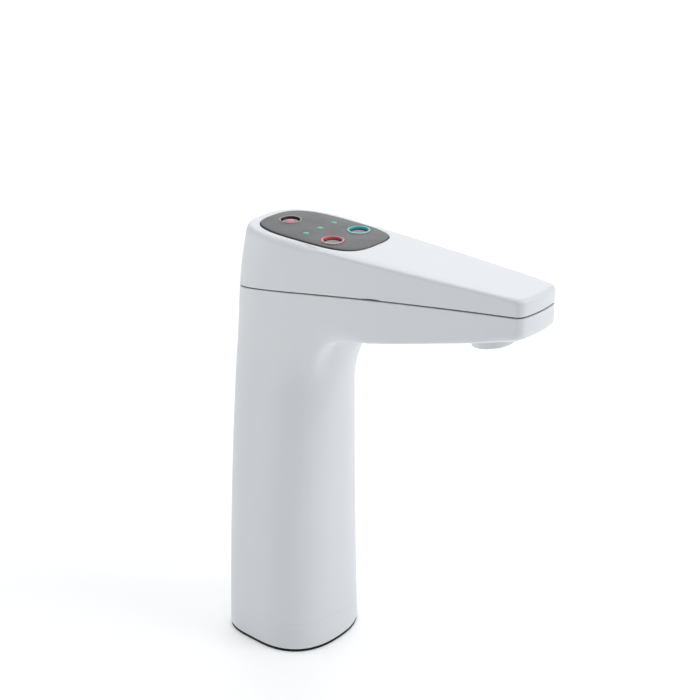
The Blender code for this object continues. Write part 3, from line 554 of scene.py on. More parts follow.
def place(obj, slot=None, *nodes, body="dispenser"):
    """The finished piece rides on its body and stands for its CAD nodes."""
    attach(obj, body)
    if nodes:
        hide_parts(*nodes)
    return obj


# ---------------------------------------------------------------- materials
class Surface:
    """A node material built up from a Principled shader."""

    def __init__(self, name, colour, roughness, metallic=0.0, **sockets):
        self.mat = bpy.data.materials.new(name)
        self.mat.use_nodes = True
        self.tree = self.mat.node_tree
        self.shader = self.tree.nodes["Principled BSDF"]
        self.set("Base Color", (*colour, 1.0))
        self.set("Roughness", roughness)
        self.set("Metallic", metallic)
        for key, value in sockets.items():
            self.set(key.replace("_", " "), value)
        self.colour = colour
        self.roughness = roughness
        self.coords = self.tree.nodes.new("ShaderNodeTexCoord").outputs["Object"]
        self.bumps = None

    def set(self, socket, value):
        self.shader.inputs[socket].default_value = value

    def noise(self, scale, detail=3.0, rough=0.5, stretch=None, distortion=0.0):
        coords = self.coords
        if stretch:
            mapping = self.tree.nodes.new("ShaderNodeMapping")
            mapping.inputs["Scale"].default_value = stretch
            self.tree.links.new(coords, mapping.inputs["Vector"])
            coords = mapping.outputs["Vector"]
        node = self.tree.nodes.new("ShaderNodeTexNoise")
        node.inputs["Scale"].default_value = scale
        node.inputs["Detail"].default_value = detail
        node.inputs["Roughness"].default_value = rough
        node.inputs["Distortion"].default_value = distortion
        self.tree.links.new(coords, node.inputs["Vector"])
        return node.outputs["Fac"]

    def ramp(self, fac, stops):
        node = self.tree.nodes.new("ShaderNodeValToRGB")
        ramp = node.color_ramp
        while len(ramp.elements) < len(stops):
            ramp.elements.new(0.5)
        for element, (at, colour) in zip(ramp.elements, stops):
            element.position = at
            element.color = (*colour, 1.0)
        self.tree.links.new(fac, node.inputs["Fac"])
        return node.outputs["Color"]

    def span(self, fac, low, high, start=0.3, end=0.7):
        node = self.tree.nodes.new("ShaderNodeMapRange")
        node.inputs["From Min"].default_value = start
        node.inputs["From Max"].default_value = end
        node.inputs["To Min"].default_value = low
        node.inputs["To Max"].default_value = high
        self.tree.links.new(fac, node.inputs["Value"])
        return node.outputs["Result"]

    def math(self, kind, a, b=0.0):
        node = self.tree.nodes.new("ShaderNodeMath")
        node.operation = kind
        for socket, value in zip(node.inputs, (a, b)):
            if isinstance(value, (int, float)):
                socket.default_value = value
            else:
                self.tree.links.new(value, socket)
        return node.outputs["Value"]

    def mix(self, fac, a, b, blend="MIX"):
        node = self.tree.nodes.new("ShaderNodeMix")
        node.data_type = "RGBA"
        node.blend_type = blend
        for socket, value in ((node.inputs["Factor"], fac), (node.inputs["A"], a), (node.inputs["B"], b)):
            if isinstance(value, (int, float)):
                socket.default_value = value
            elif isinstance(value, tuple):
                socket.default_value = (*value, 1.0)
            else:
                self.tree.links.new(value, socket)
        return node.outputs["Result"]

    def mottle(self, scale, amount, tint=(1.0, 1.0, 1.0), detail=4.0, stretch=None):
        """Faint cloudy variation of the colour."""
        low = tuple(c * (1 - amount * t) for c, t in zip(self.colour, tint))
        high = tuple(min(1.0, c * (1 + amount * t)) for c, t in zip(self.colour, tint))
        self.link("Base Color", self.ramp(self.noise(scale, detail, stretch=stretch), [(0.3, low), (0.7, high)]))
        return self

    def patchy_gloss(self, scale, amount, detail=3.0, stretch=None):
        low, high = self.roughness - amount, self.roughness + amount
        self.link("Roughness", self.span(self.noise(scale, detail, stretch=stretch), low, high))
        return self

    def grain(self, scale, depth, detail=2.0, rough=0.5, stretch=None, fac=None):
        """Fine relief, depth in millimetres."""
        bump = self.tree.nodes.new("ShaderNodeBump")
        bump.inputs["Strength"].default_value = 1.0
        bump.inputs["Distance"].default_value = depth * MM
        self.tree.links.new(fac or self.noise(scale, detail, rough, stretch), bump.inputs["Height"])
        if self.bumps:
            self.tree.links.new(self.bumps, bump.inputs["Normal"])
        self.bumps = bump.outputs["Normal"]
        self.link("Normal", self.bumps)
        return self

    def link(self, socket, output):
        self.tree.links.new(output, self.shader.inputs[socket])

    def edge_wear_and_highlight(self, colour, amount=0.5):
        """Lightens or darkens the colour along convex edges: worn edges on metal, a painted highlight on the white
        shell.
        """
        geometry = self.tree.nodes.new("ShaderNodeNewGeometry")
        painted_light_and_wear = self.span(geometry.outputs["Pointiness"], 0.0, amount, 0.52, 0.6)
        base = self.shader.inputs["Base Color"]
        source = base.links[0].from_socket if base.links else tuple(base.default_value)[:3]
        self.link("Base Color", self.mix(painted_light_and_wear, source, colour))
        return self


def white_gloss():
    s = Surface("white_gloss", (0.765, 0.789, 0.810), 0.38, Specular_IOR_Level=0.4)
    s.mottle(28.0, 0.008, (1.0, 0.8, 0.5))
    s.patchy_gloss(60.0, 0.04)
    s.grain(210.0, 0.006, 1.0)
    # painted highlight: the white is lighter along convex edges, as if they caught the light
    s.edge_wear_and_highlight((0.79, 0.814, 0.833), 0.5)
    return s.mat


def panel_grey():
    s = Surface("panel_grey", (0.085, 0.085, 0.084), 0.36)
    streaks = s.noise(2600.0, 2.0, 0.6, stretch=(0.16, 1.0, 1.0))
    speck = s.ramp(streaks, [(0.34, (0.060, 0.060, 0.059)), (0.52, (0.084, 0.084, 0.083)), (0.70, (0.118, 0.118, 0.116))])
    cloudy = s.mix(s.span(s.noise(40.0, 3.0), 0.0, 0.25), speck, (0.095, 0.094, 0.093))
    # painted shade and reflection: the panel is darker and reflects less towards the rear and the -y side, where its
    # glossy top catches less light
    axis = s.tree.nodes.new("ShaderNodeSeparateXYZ")
    s.tree.links.new(s.coords, axis.inputs["Vector"])
    slant = s.math("MULTIPLY_ADD", axis.outputs["X"], 0.35)
    s.tree.links.new(axis.outputs["Y"], slant.node.inputs[2])
    painted_light_and_wear = s.span(slant, 0.0, 1.0, -16.0 * MM, 22.0 * MM)
    s.link("Base Color", s.mix(painted_light_and_wear, (0.068, 0.068, 0.067), cloudy))
    s.link("Specular IOR Level", s.span(painted_light_and_wear, 0.42, 0.52, 0.0, 1.0))
    s.patchy_gloss(90.0, 0.05)
    s.grain(0, 0.010, fac=streaks)
    return s.mat


def cap_grey():
    s = Surface("cap_grey", (0.33, 0.325, 0.32), 0.34)
    s.mottle(300.0, 0.07)
    s.patchy_gloss(200.0, 0.05)
    s.grain(4200.0, 0.008, 2.0, 0.6)
    return s.mat


def ring_grey():
    s = Surface("ring_grey", (0.36, 0.36, 0.352), 0.34)
    s.mottle(260.0, 0.06)
    s.patchy_gloss(200.0, 0.05)
    s.grain(3600.0, 0.006, 2.0, 0.6)
    return s.mat


def light_ring(name, bore_shade, bright, glow, strength, painted_reflection=None, centre=(0, 0)):
    """A translucent ring lit from below, with painted shade: colour and glow darken down the bore. A rim, with a
    pale colour given, is palest on its +x, -y side, a painted reflection."""
    s = Surface(name, bright, 0.3, Coat_Weight=0.2, Coat_Roughness=0.1)
    axis = s.tree.nodes.new("ShaderNodeSeparateXYZ")
    s.tree.links.new(s.coords, axis.inputs["Vector"])
    height = s.span(axis.outputs["Z"], 0.0, 1.0, (PANEL_TOP - 1.15) * MM, (PANEL_TOP - 0.35) * MM)
    cloud = s.noise(420.0, 2.0)
    shade = s.math("MULTIPLY_ADD", cloud, 0.25)
    shade.node.inputs[2].default_value = -0.125
    level = s.math("ADD", height, shade)
    # painted shade: the bore's colour darkens towards its foot
    base = s.ramp(level, [(0.15, bore_shade), (0.75, bright)])
    # painted reflection: a rim is paler on its +x, -y side
    if painted_reflection:
        across = s.math("MULTIPLY_ADD", axis.outputs["X"], -0.68)
        across.node.inputs[2].default_value = (0.68 * centre[0] - 0.74 * centre[1]) * MM
        side = s.math("MULTIPLY_ADD", axis.outputs["Y"], 0.74)
        s.tree.links.new(across, side.node.inputs[2])
        base = s.mix(s.span(side, 0.0, 1.0, 1.0 * MM, -4.5 * MM), base, painted_reflection)
    s.link("Base Color", base)
    # the glow fades down the bore too, part of the painted shade
    s.link("Emission Color", s.ramp(level, [(0.1, tuple(0.08 * c for c in glow)), (0.8, glow)]))
    s.set("Emission Strength", strength)
    s.patchy_gloss(300.0, 0.06)
    s.grain(2400.0, 0.004)
    return s.mat


def rubber(name="black_rubber", colour=(0.006, 0.006, 0.0065)):
    s = Surface(name, colour, 0.7, Specular_IOR_Level=0.3)
    s.mottle(500.0, 0.25)
    s.patchy_gloss(300.0, 0.08)
    s.grain(2600.0, 0.02, 3.0, 0.6)
    return s.mat


def plastic(name, colour, roughness=0.45, relief=0.01):
    s = Surface(name, colour, roughness)
    s.mottle(220.0, 0.08)
    s.patchy_gloss(180.0, 0.06)
    s.grain(3000.0, relief, 2.0, 0.6)
    return s.mat


def glowing(name, colour, glow, strength):
    """A diffusing lamp lens with a softly uneven light behind it."""
    s = Surface(name, colour, 0.34)
    s.mottle(600.0, 0.08)
    uneven = s.noise(900.0, 2.0)
    s.link("Emission Color", s.ramp(uneven, [(0.3, tuple(0.8 * c for c in glow)), (0.7, glow)]))
    s.set("Emission Strength", strength)
    s.patchy_gloss(300.0, 0.04)
    s.grain(2400.0, 0.003)
    return s.mat


def metal(name, colour, roughness, stretch=(1.0, 40.0, 40.0), scratch=0.004):
    s = Surface(name, colour, roughness, 1.0)
    s.mottle(120.0, 0.05)
    s.patchy_gloss(90.0, 0.08, stretch=stretch)
    s.grain(60.0, scratch, 4.0, 0.7, stretch=stretch)
    s.edge_wear_and_highlight(tuple(min(1.0, c * 1.5) for c in colour), 0.6)
    return s.mat


def board_green():
    s = Surface("board_green", (0.015, 0.13, 0.055), 0.35, Coat_Weight=0.3, Coat_Roughness=0.2)
    tracks = s.tree.nodes.new("ShaderNodeTexBrick")
    tracks.inputs["Scale"].default_value = 230.0
    tracks.inputs["Color1"].default_value = (0.012, 0.115, 0.045, 1)
    tracks.inputs["Color2"].default_value = (0.014, 0.125, 0.050, 1)
    tracks.inputs["Mortar"].default_value = (0.035, 0.22, 0.085, 1)
    tracks.inputs["Mortar Size"].default_value = 0.045
    s.tree.links.new(s.coords, tracks.inputs["Vector"])
    s.link("Base Color", s.mix(s.span(s.noise(300.0), 0.0, 0.35), tracks.outputs["Color"], (0.012, 0.10, 0.042)))
    s.patchy_gloss(260.0, 0.08)
    s.grain(0, 0.02, fac=tracks.outputs["Fac"])
    return s.mat


def soft_tube(name, colour, roughness=0.4, through=0.25):
    s = Surface(name, colour, roughness, Subsurface_Weight=through, Subsurface_Scale=0.002)
    s.mottle(140.0, 0.06)
    s.patchy_gloss(160.0, 0.08)
    s.grain(900.0, 0.01, 3.0)
    return s.mat


WHITE = white_gloss()
PANEL = panel_grey()
CAP = cap_grey()
RING = ring_grey()
# the first colour of each is painted shade deep in the bore; each rim's pale colour is a painted reflection on its +x,
# -y side
RED = (
    light_ring("red_light", (0.06, 0.035, 0.035), (0.58, 0.11, 0.13), (0.85, 0.08, 0.11), 0.07),
    light_ring("red_light_rim", (0.50, 0.10, 0.13), (0.60, 0.17, 0.21), (0.70, 0.16, 0.20), 0.05, (0.60, 0.40, 0.42), BOIL_XY),
)
TEAL = (
    light_ring("turquoise_light", (0.025, 0.055, 0.065), (0.035, 0.42, 0.45), (0.02, 0.55, 0.60), 0.08),
    light_ring("turquoise_light_rim", (0.05, 0.40, 0.42), (0.12, 0.50, 0.50), (0.10, 0.55, 0.52), 0.05, (0.42, 0.60, 0.59), CHILLED_XY),
)
RUBBER = rubber()
SEAL_RUBBER = rubber("grey_rubber", (0.15, 0.15, 0.155))
BLACK = plastic("black_plastic", (0.022, 0.022, 0.024), 0.42)
GREEN = glowing("green_light", (0.07, 0.42, 0.30), (0.05, 0.50, 0.34), 0.14)
LENS = glowing("lens_red", (0.60, 0.20, 0.25), (0.80, 0.14, 0.19), 0.18)
LAMP = plastic("lamp_cream", (0.78, 0.76, 0.55), 0.35, 0.004)
STEEL = metal("steel_brushed", (0.46, 0.46, 0.465), 0.34)
SCREW = metal("screw_steel", (0.36, 0.36, 0.37), 0.36, (30.0, 30.0, 1.0))
SPRING = metal("spring_steel", (0.50, 0.50, 0.52), 0.28, (6.0, 6.0, 30.0))
BOARD = board_green()
HOT = soft_tube("hot_silicone", (0.62, 0.17, 0.12))
COLD = soft_tube("chilled_tube_blue", (0.16, 0.36, 0.62), 0.3)
CABLE = plastic("cable_grey", (0.20, 0.20, 0.21), 0.5)


# ---------------------------------------------------------------- casing
def skin(verts, faces, inset):
    """Half the body's skin (y >= 0). It returns the foot's row and the joint's
    row as indices. Nothing here depends on which skin it is but inset."""
    outer = inset < 0.5
    fillet = FILLET + inset
    front = [8.0 * k for k in range(5)]
    edges = (37.0, 42.0)
    half_gap = JOINT_GAP / 2

    def add(p):
        verts.append(p)
        return len(verts) - 1

    def quad(*ids):
        faces.append(ids)

    def under(x):
        return under_z(x) - 0.25 * smooth(138.0, 112.0, x) + inset

    def edge_at(x):
        return (EDGE if outer else 1.4) + 2.0 * smooth(84.0, 44.0, x) + (1.2 * smooth(122.0, 142.0, x) if outer else 0.0)

    def pushed(deg, z):
        """A point of the column's front corner, drawn out a little as the spout's
        side wall grows out of it."""
        x, y = front_point(deg, z, inset)
        base = front_point(47.0, z, inset)
        full = wall_points(z, inset)[0]
        share = {16.0: 0.1, 24.0: 0.28, 32.0: 0.5, 37.0: 0.72, 42.0: 0.88}.get(deg, 0.0)
        return x + share * (full[0] - base[0]), y + share * (full[1] - base[1])

    # the column
    if outer:
        foot = [(SHELL_BOTTOM, 0.62), (SHELL_BOTTOM + 0.22, 0.2), (SHELL_BOTTOM + 0.8, 0.0), (SHELL_BOTTOM + 2.4, 0.0)]
        heights = foot + [(9.0, 0.0), (16.2, 0.0), (17.0, 0.38), (17.8, 0.0)]
    else:
        heights = [(SHELL_BOTTOM, 0.0), (SHELL_BOTTOM + 1.2, 0.0), (9.0, 0.0)]
    heights += [(z, 0.0) for z in (24, 38, 54, 70, 86, 102, 117, 131, 144, 154, 162, 169)]
    rows = []
    for z, extra in heights:
        z = float(z)
        groove = 16 < z < 18 and extra
        half = []
        for deg in [*front, *edges]:
            x, y = pushed(deg, z)
            sx, sy = front_point(deg, z, inset + extra)
            fx, fy = front_point(deg, z, inset)
            half.append((x + sx - fx, y + sy - fy, z))
        wall = wall_points(z, inset + extra)
        if groove:  # the crease fades out behind the column's widest line
            plain = wall_points(z, inset)
            wall = [
                tuple(Vector(p).lerp(Vector(q), smooth(0.0, 6.0, k))) for k, (p, q) in enumerate(zip(wall, plain))
            ]
        rows.append([add(p) for p in half + wall])

    # the fillet under the spout: each front line turns from the column to the
    # underside on a round of the same radius
    first = COARSE.stations[0]
    edge = edge_at(first)
    w2_first = side_y(first, under(first), inset) - edge
    arc = (0.0, 22.5, 45.0, 67.5, 90.0)
    wall_z = (175.4, 178.6, 181.6, 184.4, 187.2)
    for phi, level in zip(arc, wall_z):
        phi = math.radians(phi)
        half = []
        for k, deg in enumerate([*front, *edges]):
            cx, cy = pushed(deg, 183.5)
            if k < 5:
                target = Vector((first, w2_first * k / 5, 0.0))
            elif k == 5:
                target = Vector((first, w2_first, 0.0))
            else:
                target = Vector((first, w2_first + edge * math.sin(math.radians(45)), edge * (1 - math.sin(math.radians(45)))))
            way = target.xy - Vector((cx, cy))
            reach = way.length
            way.normalize()
            step = fillet * (1 - math.cos(phi))
            x, y = cx + way.x * step, cy + way.y * step
            z = under(x) - fillet * (1 - math.sin(phi)) + target.z * step / reach
            if phi == 0:
                x, y = pushed(deg, z)
            half.append((x, y, z))
        wall = wall_points(level, inset)
        low_side, high_side = Vector(half[-2]), Vector(wall[0])
        corner = Vector((low_side.x, high_side.y, low_side.z))
        middle = (low_side + high_side) / 2
        chord = (high_side - low_side).length
        half[-1] = tuple(middle + (corner - middle).normalized() * chord * (0.10 + 0.05 * math.sin(phi)))
        rows.append([add(p) for p in half + wall])
    for low, high in zip(rows, rows[1:]):
        for j in range(len(low) - 1):
            quad(low[j], low[j + 1], high[j + 1], high[j])
    last = rows[-1]

    # rows along the spout, from the middle of the underside's rim up to the joint
    def low_edge(x):
        return under(x) + edge_at(x)

    top = half_gap if outer else half_gap + REBATE_Z

    def joint(drop):
        return lambda x: joint_z(x) - top - drop

    def between(share):
        return lambda x: low_edge(x) + share * (joint_z(x) - top - 1.4 - low_edge(x))

    def between_rear(share):
        return lambda x: wall_z[-1] + share * (joint_z(x) - top - 1.4 - wall_z[-1])

    s45 = math.sin(math.radians(45))
    lower = [
        (lambda x: under(x), 1.0),
        (lambda x: under(x) + edge_at(x) * (1 - s45), 1 - s45),
        (low_edge, 0.0),
    ]
    finish = [(joint(1.4), 0.0), (joint(0.45), 0.0), (joint(0.12), 0.08), (joint(0.0), 0.3)] if outer else [
        (joint(1.4), 0.0), (joint(0.5), 0.0), (joint(0.0), 0.0)]
    spout = []
    for height, extra in lower:
        plain, moved = spout_points(height, inset), spout_points(height, inset + 1.0)
        spout.append(
            [
                add((p[0] + (q[0] - p[0]) * extra * edge_at(p[0]), p[1] + (q[1] - p[1]) * extra * edge_at(p[0]), p[2]))
                for p, q in zip(plain, moved)
            ]
        )
    for height, extra in [(between(0.33), 0.0), (between(0.66), 0.0)] + finish:
        spout.append([add(p) for p in spout_points(height, inset + extra)])
    rear = [last[7:]]
    for height, extra in [(between_rear(0.33), 0.0), (between_rear(0.66), 0.0)] + finish:
        rear.append([add(p) for p in wall_points(height, inset + extra)])
    n = len(spout[0])
    for low, high in zip(spout, spout[1:]):
        for s in range(n - 1):
            quad(low[s], high[s], high[s + 1], low[s + 1])
    for low, high in zip(rear, rear[1:]):
        for s in range(len(low) - 1):
            quad(low[s], low[s + 1], high[s + 1], high[s])
    for (slow, shigh), (rlow, rhigh) in zip(zip(spout[2:], spout[3:]), zip(rear, rear[1:])):
        quad(slow[-1], rlow[0], rhigh[0], shigh[-1])

    # the underside
    w2, w1, w0 = spout[0], spout[1], spout[2]
    inner = []
    count = len(COARSE.stations)
    for j in range(count):
        rim = verts[w2[n - 1 - j]]
        inner.append([add((rim[0], rim[1] * k / 5, rim[2])) for k in range(5)])
    for k in range(4):
        quad(last[k], last[k + 1], inner[0][k + 1], inner[0][k])
    quad(last[4], last[5], w2[-1], inner[0][4])
    quad(last[5], last[6], w1[-1], w2[-1])
    quad(last[6], last[7], w0[-1], w1[-1])
    for j in range(count - 1):
        for k in range(4):
            quad(inner[j][k], inner[j][k + 1], inner[j + 1][k + 1], inner[j + 1][k])
        quad(inner[j][4], w2[n - 1 - j], w2[n - 2 - j], inner[j + 1][4])
    end = inner[-1]
    rim = n - count  # index in w2 of the last station
    for k in range(4):
        quad(w2[k], w2[k + 1], end[k + 1], end[k])
    quad(w2[4], w2[5], w2[rim], end[4])
    quad(*w2[5 : rim + 1])
    return rows[0], spout[-1] + rear[-1], (spout, rear)


def melt(obj, weight, passes):
    """Relaxes the mesh where weight(x, y, z) is above 0 (coordinates in mm)."""
    mesh = obj.data
    co = coordinates(mesh) / MM
    ends = np.empty(len(mesh.edges) * 2, np.int32)
    mesh.edges.foreach_get("vertices", ends)
    a, b = ends.reshape(-1, 2).T
    near = np.bincount(a, minlength=len(co)) + np.bincount(b, minlength=len(co))
    share = np.array([weight(*p) for p in co])[:, None]
    for _ in range(passes):
        mean = np.zeros_like(co)
        for k in range(3):
            mean[:, k] = np.bincount(a, co[b, k], len(co)) + np.bincount(b, co[a, k], len(co))
        co += 0.5 * share * (mean / near[:, None] - co)
    mesh.vertices.foreach_set("co", (co * MM).astype(np.float32).ravel())
    mesh.update()


def mirror_mesh(name, verts, faces, mat):
    """The half and its mirror image, joined along y = 0."""
    bm = bmesh.new()
    right = [bm.verts.new(v) for v in verts]
    left = [right[i] if abs(v[1]) < 1e-6 else bm.verts.new((v[0], -v[1], v[2])) for i, v in enumerate(verts)]
    for ids in faces:
        if len(set(ids)) > 2:
            bm.faces.new([right[i] for i in ids])
            bm.faces.new([left[i] for i in reversed(ids)])
    return make_object(name, bm, mat)


def body_casing():
    verts, faces = [], []
    foot_out, joint_out, _ = skin(verts, faces, 0.0)
    foot_in, joint_in, _ = skin(verts, faces, WALL)
    half_gap = JOINT_GAP / 2

    def add_row(points):
        start = len(verts)
        verts.extend(points)
        return list(range(start, len(verts)))

    def high(x):
        return joint_z(x) - half_gap

    def low(x):
        return joint_z(x) - half_gap - REBATE_Z

    step_high = add_row(spout_points(high, REBATE) + wall_points(high, REBATE))
    step_low = add_row(spout_points(low, REBATE) + wall_points(low, REBATE))
    for a, b in ((joint_out, step_high), (step_high, step_low), (step_low, joint_in), (foot_in, foot_out)):
        for k in range(len(a) - 1):
            faces.append((a[k], a[k + 1], b[k + 1], b[k]))
    obj = mirror_mesh("body_casing", verts, faces, WHITE)
    sharp = {tuple(round(c, 3) for c in verts[i]) for row in (step_high, step_low, joint_in, foot_in) for i in row}
    sharp |= {(x, -y, z) for x, y, z in sharp}
    crease(obj, lambda p: tuple(round(c, 3) + 0.0 for c in p) in sharp or tuple(round(c, 3) for c in p) in sharp)
    subdivide(obj, 2)
    melt(
        obj,
        lambda x, y, z: smooth(20.0, 27.0, x)
        * smooth(66.0, 52.0, x)
        * smooth(152.0, 163.0, z)
        * smooth(196.0, 190.0, z)
        * smooth(7.0, 14.0, abs(y)),
        100,
    )
    opening = turned("opening", [(0, -6), (8.0, -6), (8.0, 9), (0, 9)], None, matrix=OUTLET)
    tools = []
    for k, (x, y) in enumerate(FOOT_SCREWS):
        tools.append(
            turned(
                f"boss_{k}",
                [(0, 22.5), (1.5, 22.5), (1.5, 9.0), (4.0, 9.0), (4.0, 25.0), (0, 25.0)],
                None,
                (x, y),
                32,
            )
        )
    boolean(obj, opening, sharp=None)
    boolean(obj, tools, "UNION", sharp=None)
    obj.data.set_sharp_from_angle(angle=math.radians(50))
    return place(obj, "white_gloss", "body_shell")


SLOPE = math.atan(0.26)
OUTLET = Matrix.Translation(Vector((OUTLET_X, 0, under_z(OUTLET_X)))) @ Matrix.Rotation(-SLOPE, 4, "Y")


def head_cover():
    half_gap = JOINT_GAP / 2

    def up(rise):
        return lambda x: joint_z(x) + half_gap + rise

    def level(z):
        return lambda x: z

    def at(points, z):
        return [(x, y, z) for x, y, _ in points]

    def ring(z, inset):
        return head_ring(z, inset, FINE)

    outline = ring(level(TOP_Z), 0.0)
    lip = matched_panel(outline, PANEL_GAP + LIP + 0.3)
    # how far each point's edge lies below the crown, and how round it is: wide
    # and soft beside the panel, tighter along the spout, softer again at the tip
    drop, radii = [], []
    for p, q in zip(outline, lip):
        room = math.hypot(p[0] - q[0], p[1] - q[1])
        drop.append(EDGE_DROP * smooth(3.4, 9.0, room))
        r = PANEL_EDGE + (TOP_EDGE - PANEL_EDGE) * smooth(6.0, 15.0, room)
        radii.append(r + (TIP_EDGE - r) * smooth(137.0, 147.0, p[0]))

    def edge_ring(share):
        """share 0 is the foot of the rounding, 1 its crest."""
        a = math.pi / 2 * share
        cuts = [ring(level(TOP_Z - 0.3 - 2.0 * (1 - math.sin(a))), r * (1 - math.cos(a))) for r in (1.0, 4.0)]
        out = []
        for p, q, d, r in zip(*cuts, drop, radii):
            w = (r - 1.0) / 3.0
            out.append((p[0] + (q[0] - p[0]) * w, p[1] + (q[1] - p[1]) * w, TOP_Z - d - r + r * math.sin(a)))
        return out

    rings = [ring(up(0.0), 0.3), ring(up(0.12), 0.08), ring(up(0.45), 0.0), ring(up(1.4), 0.0)]
    for share in (0.33, 0.67, 1.0):
        rings.append(
            ring(lambda x, s=share: up(1.4)(x) * (1 - s) + (TOP_Z - 1.3 - PANEL_EDGE + 0.9 * smooth(30.0, 70.0, x)) * s, 0.0)
        )
    for k in range(5):
        rings.append(edge_ring(k / 4))
    rim = rings[-1]
    for share in (0.08, 0.22, 0.42, 0.64, 0.84, 1.0):
        rings.append(
            [
                (p[0] + (q[0] - p[0]) * share, p[1] + (q[1] - p[1]) * share, TOP_Z - d * (1 - share) ** 1.4)
                for p, q, d in zip(rim, lip, drop)
            ]
        )
    for inset, rise in reversed(arc_rows(LIP, 4)):
        rings.append(at(matched_panel(outline, PANEL_GAP + inset), TOP_Z - LIP + rise))
    opening = matched_panel(outline, PANEL_GAP)
    rings.append(at(opening, LEDGE_Z + 0.5))
    corner_start = len(rings)
    rings.append(at(opening, LEDGE_Z))
    inner_edge = matched_panel(outline, PANEL_GAP - LEDGE_WIDTH)
    rings.append(at(inner_edge, LEDGE_Z))
    rings.append(at(inner_edge, LEDGE_BOTTOM))
    inner_wall = ring(level(TOP_Z - 4.0), WALL)
    wall_line = matched_panel(outline, PANEL_GAP + 1.9)
    roof_line = matched_panel(outline, PANEL_GAP + 4.2)
    ledge_out, roof = [], []
    for (ix, iy, _), (ox, oy, _), wide, far in zip(inner_wall, inner_edge, wall_line, roof_line):
        gap = math.hypot(ix - ox, iy - oy)
        room = smooth(6.0, 14.0, gap)
        for out, share, line, z in (
            (ledge_out, 0.5, wide, LEDGE_BOTTOM),
            (roof, 0.7, far, LEDGE_BOTTOM + (TOP_Z - 2.7 - LEDGE_BOTTOM) * smooth(0.3, 1.0, room) - 0.02),
        ):
            nx, ny = ox + (ix - ox) * share, oy + (iy - oy) * share
            if room > 0:
                nx, ny = nx + (line[0] - nx) * room, ny + (line[1] - ny) * room
            out.append((nx, ny, z))
    rings.append(ledge_out)
    rings.append(roof)
    rings.append([(x, y, r[2]) for (x, y, _), r in zip(inner_wall, roof)])
    rings.append(ring(up(REBATE_Z), WALL))
    rings.append(ring(up(REBATE_Z), REBATE))
    rings.append(ring(up(0.0), REBATE))
    cover = loft("head_cover", rings, WHITE, loop=True)
    sharp = {tuple(round(c, 2) for c in p) for row in rings[corner_start:] for p in row}
    crease(cover, lambda p: tuple(round(c, 2) + 0.0 for c in p) in sharp or tuple(round(c, 2) for c in p) in sharp)
    subdivide(cover, 2)

    # a wedge-shaped slot in the joint, for a blade to lift the cover
    x0 = 68.5
    bm = bmesh.new()
    y0 = -side_y(x0, joint_z(x0), 0.0)
    outline = [(-5.8, 0.1), (-1.0, 0.45), (3.6, 0.8), (5.4, 0.1), (5.4, -0.5), (-5.8, -0.5)]
    near = [bm.verts.new((x0 + dx, y0 - 0.9, joint_z(x0 + dx) + half_gap + dz * 1.5)) for dx, dz in outline]
    far = [bm.verts.new((x0 + dx, y0 + 0.95, joint_z(x0 + dx) + half_gap + dz * 0.6)) for dx, dz in outline]
    bm.faces.new(near)
    bm.faces.new(far)
    for k in range(len(near)):
        m = (k + 1) % len(near)
        bm.faces.new((near[k], near[m], far[m], far[k]))
    boolean(cover, make_object("pry", bm, None), sharp=None)
    for side in (-1, 1):
        x, z = 96.0, joint_z(96.0)
        wall_y = side_y(x, z, WALL)
        spans = (((wall_y - 2.2, z - 7.0), (wall_y - 0.9, z + 9.0)), ((wall_y - 2.0, z + 4.0), (wall_y + 0.8, z + 8.9)))
        for (ya, za), (yb, zb) in spans:
            ya, yb = sorted((side * ya, side * yb))
            boolean(cover, block("snap", (x - 4, ya, za), (x + 4, yb, zb), None), "UNION", sharp=None)
    cover.data.set_sharp_from_angle(angle=math.radians(48))
    return place(cover, "white_gloss", "top_cover")


def seals():
    lo, hi = REBATE + 0.35, WALL + 0.1

    def below(x):
        return joint_z(x) - JOINT_GAP / 2 - REBATE_Z + 0.3

    def above(x):
        return joint_z(x) + JOINT_GAP / 2 + REBATE_Z - 0.3

    def mid(rise):
        return lambda x: joint_z(x) + rise

    # a T section: the head sits between the two rebates, the fin fills the joint
    fin = JOINT_GAP / 2 - 0.02
    rings = [
        head_ring(below, lo, FINE),
        head_ring(mid(-fin), lo, FINE),
        head_ring(mid(-fin), 0.5, FINE),
        head_ring(mid(0.0), 0.38, FINE),
        head_ring(mid(fin), 0.5, FINE),
        head_ring(mid(fin), lo, FINE),
        head_ring(above, lo, FINE),
        head_ring(above, hi, FINE),
        head_ring(below, hi, FINE),
    ]
    place(loft("joint_gasket", rings, SEAL_RUBBER, loop=True, sharp=40), "black_rubber", "joint_seal")
    bottom = PANEL_TOP - PANEL_THICK
    rows = []
    section_points = (
        (PANEL_GAP - 0.03, LEDGE_Z + 0.3),
        (PANEL_GAP - 0.03, PANEL_TOP - 0.95),
        (PANEL_GAP - 0.12, PANEL_TOP - 0.75),
        (0.1, PANEL_TOP - 0.75),
        (0.03, PANEL_TOP - 0.9),
        (0.03, bottom - 0.3),
        (-1.6, bottom - 0.3),
        (-1.75, bottom - 0.45),
        (-1.75, LEDGE_Z + 0.3),
    )
    for grow, z in section_points:
        rows.append(even_panel_ring(z, grow, 180))
    place(loft("fascia_gasket", rows, RUBBER, loop=True, sharp=40), "black_rubber", "panel_gasket")


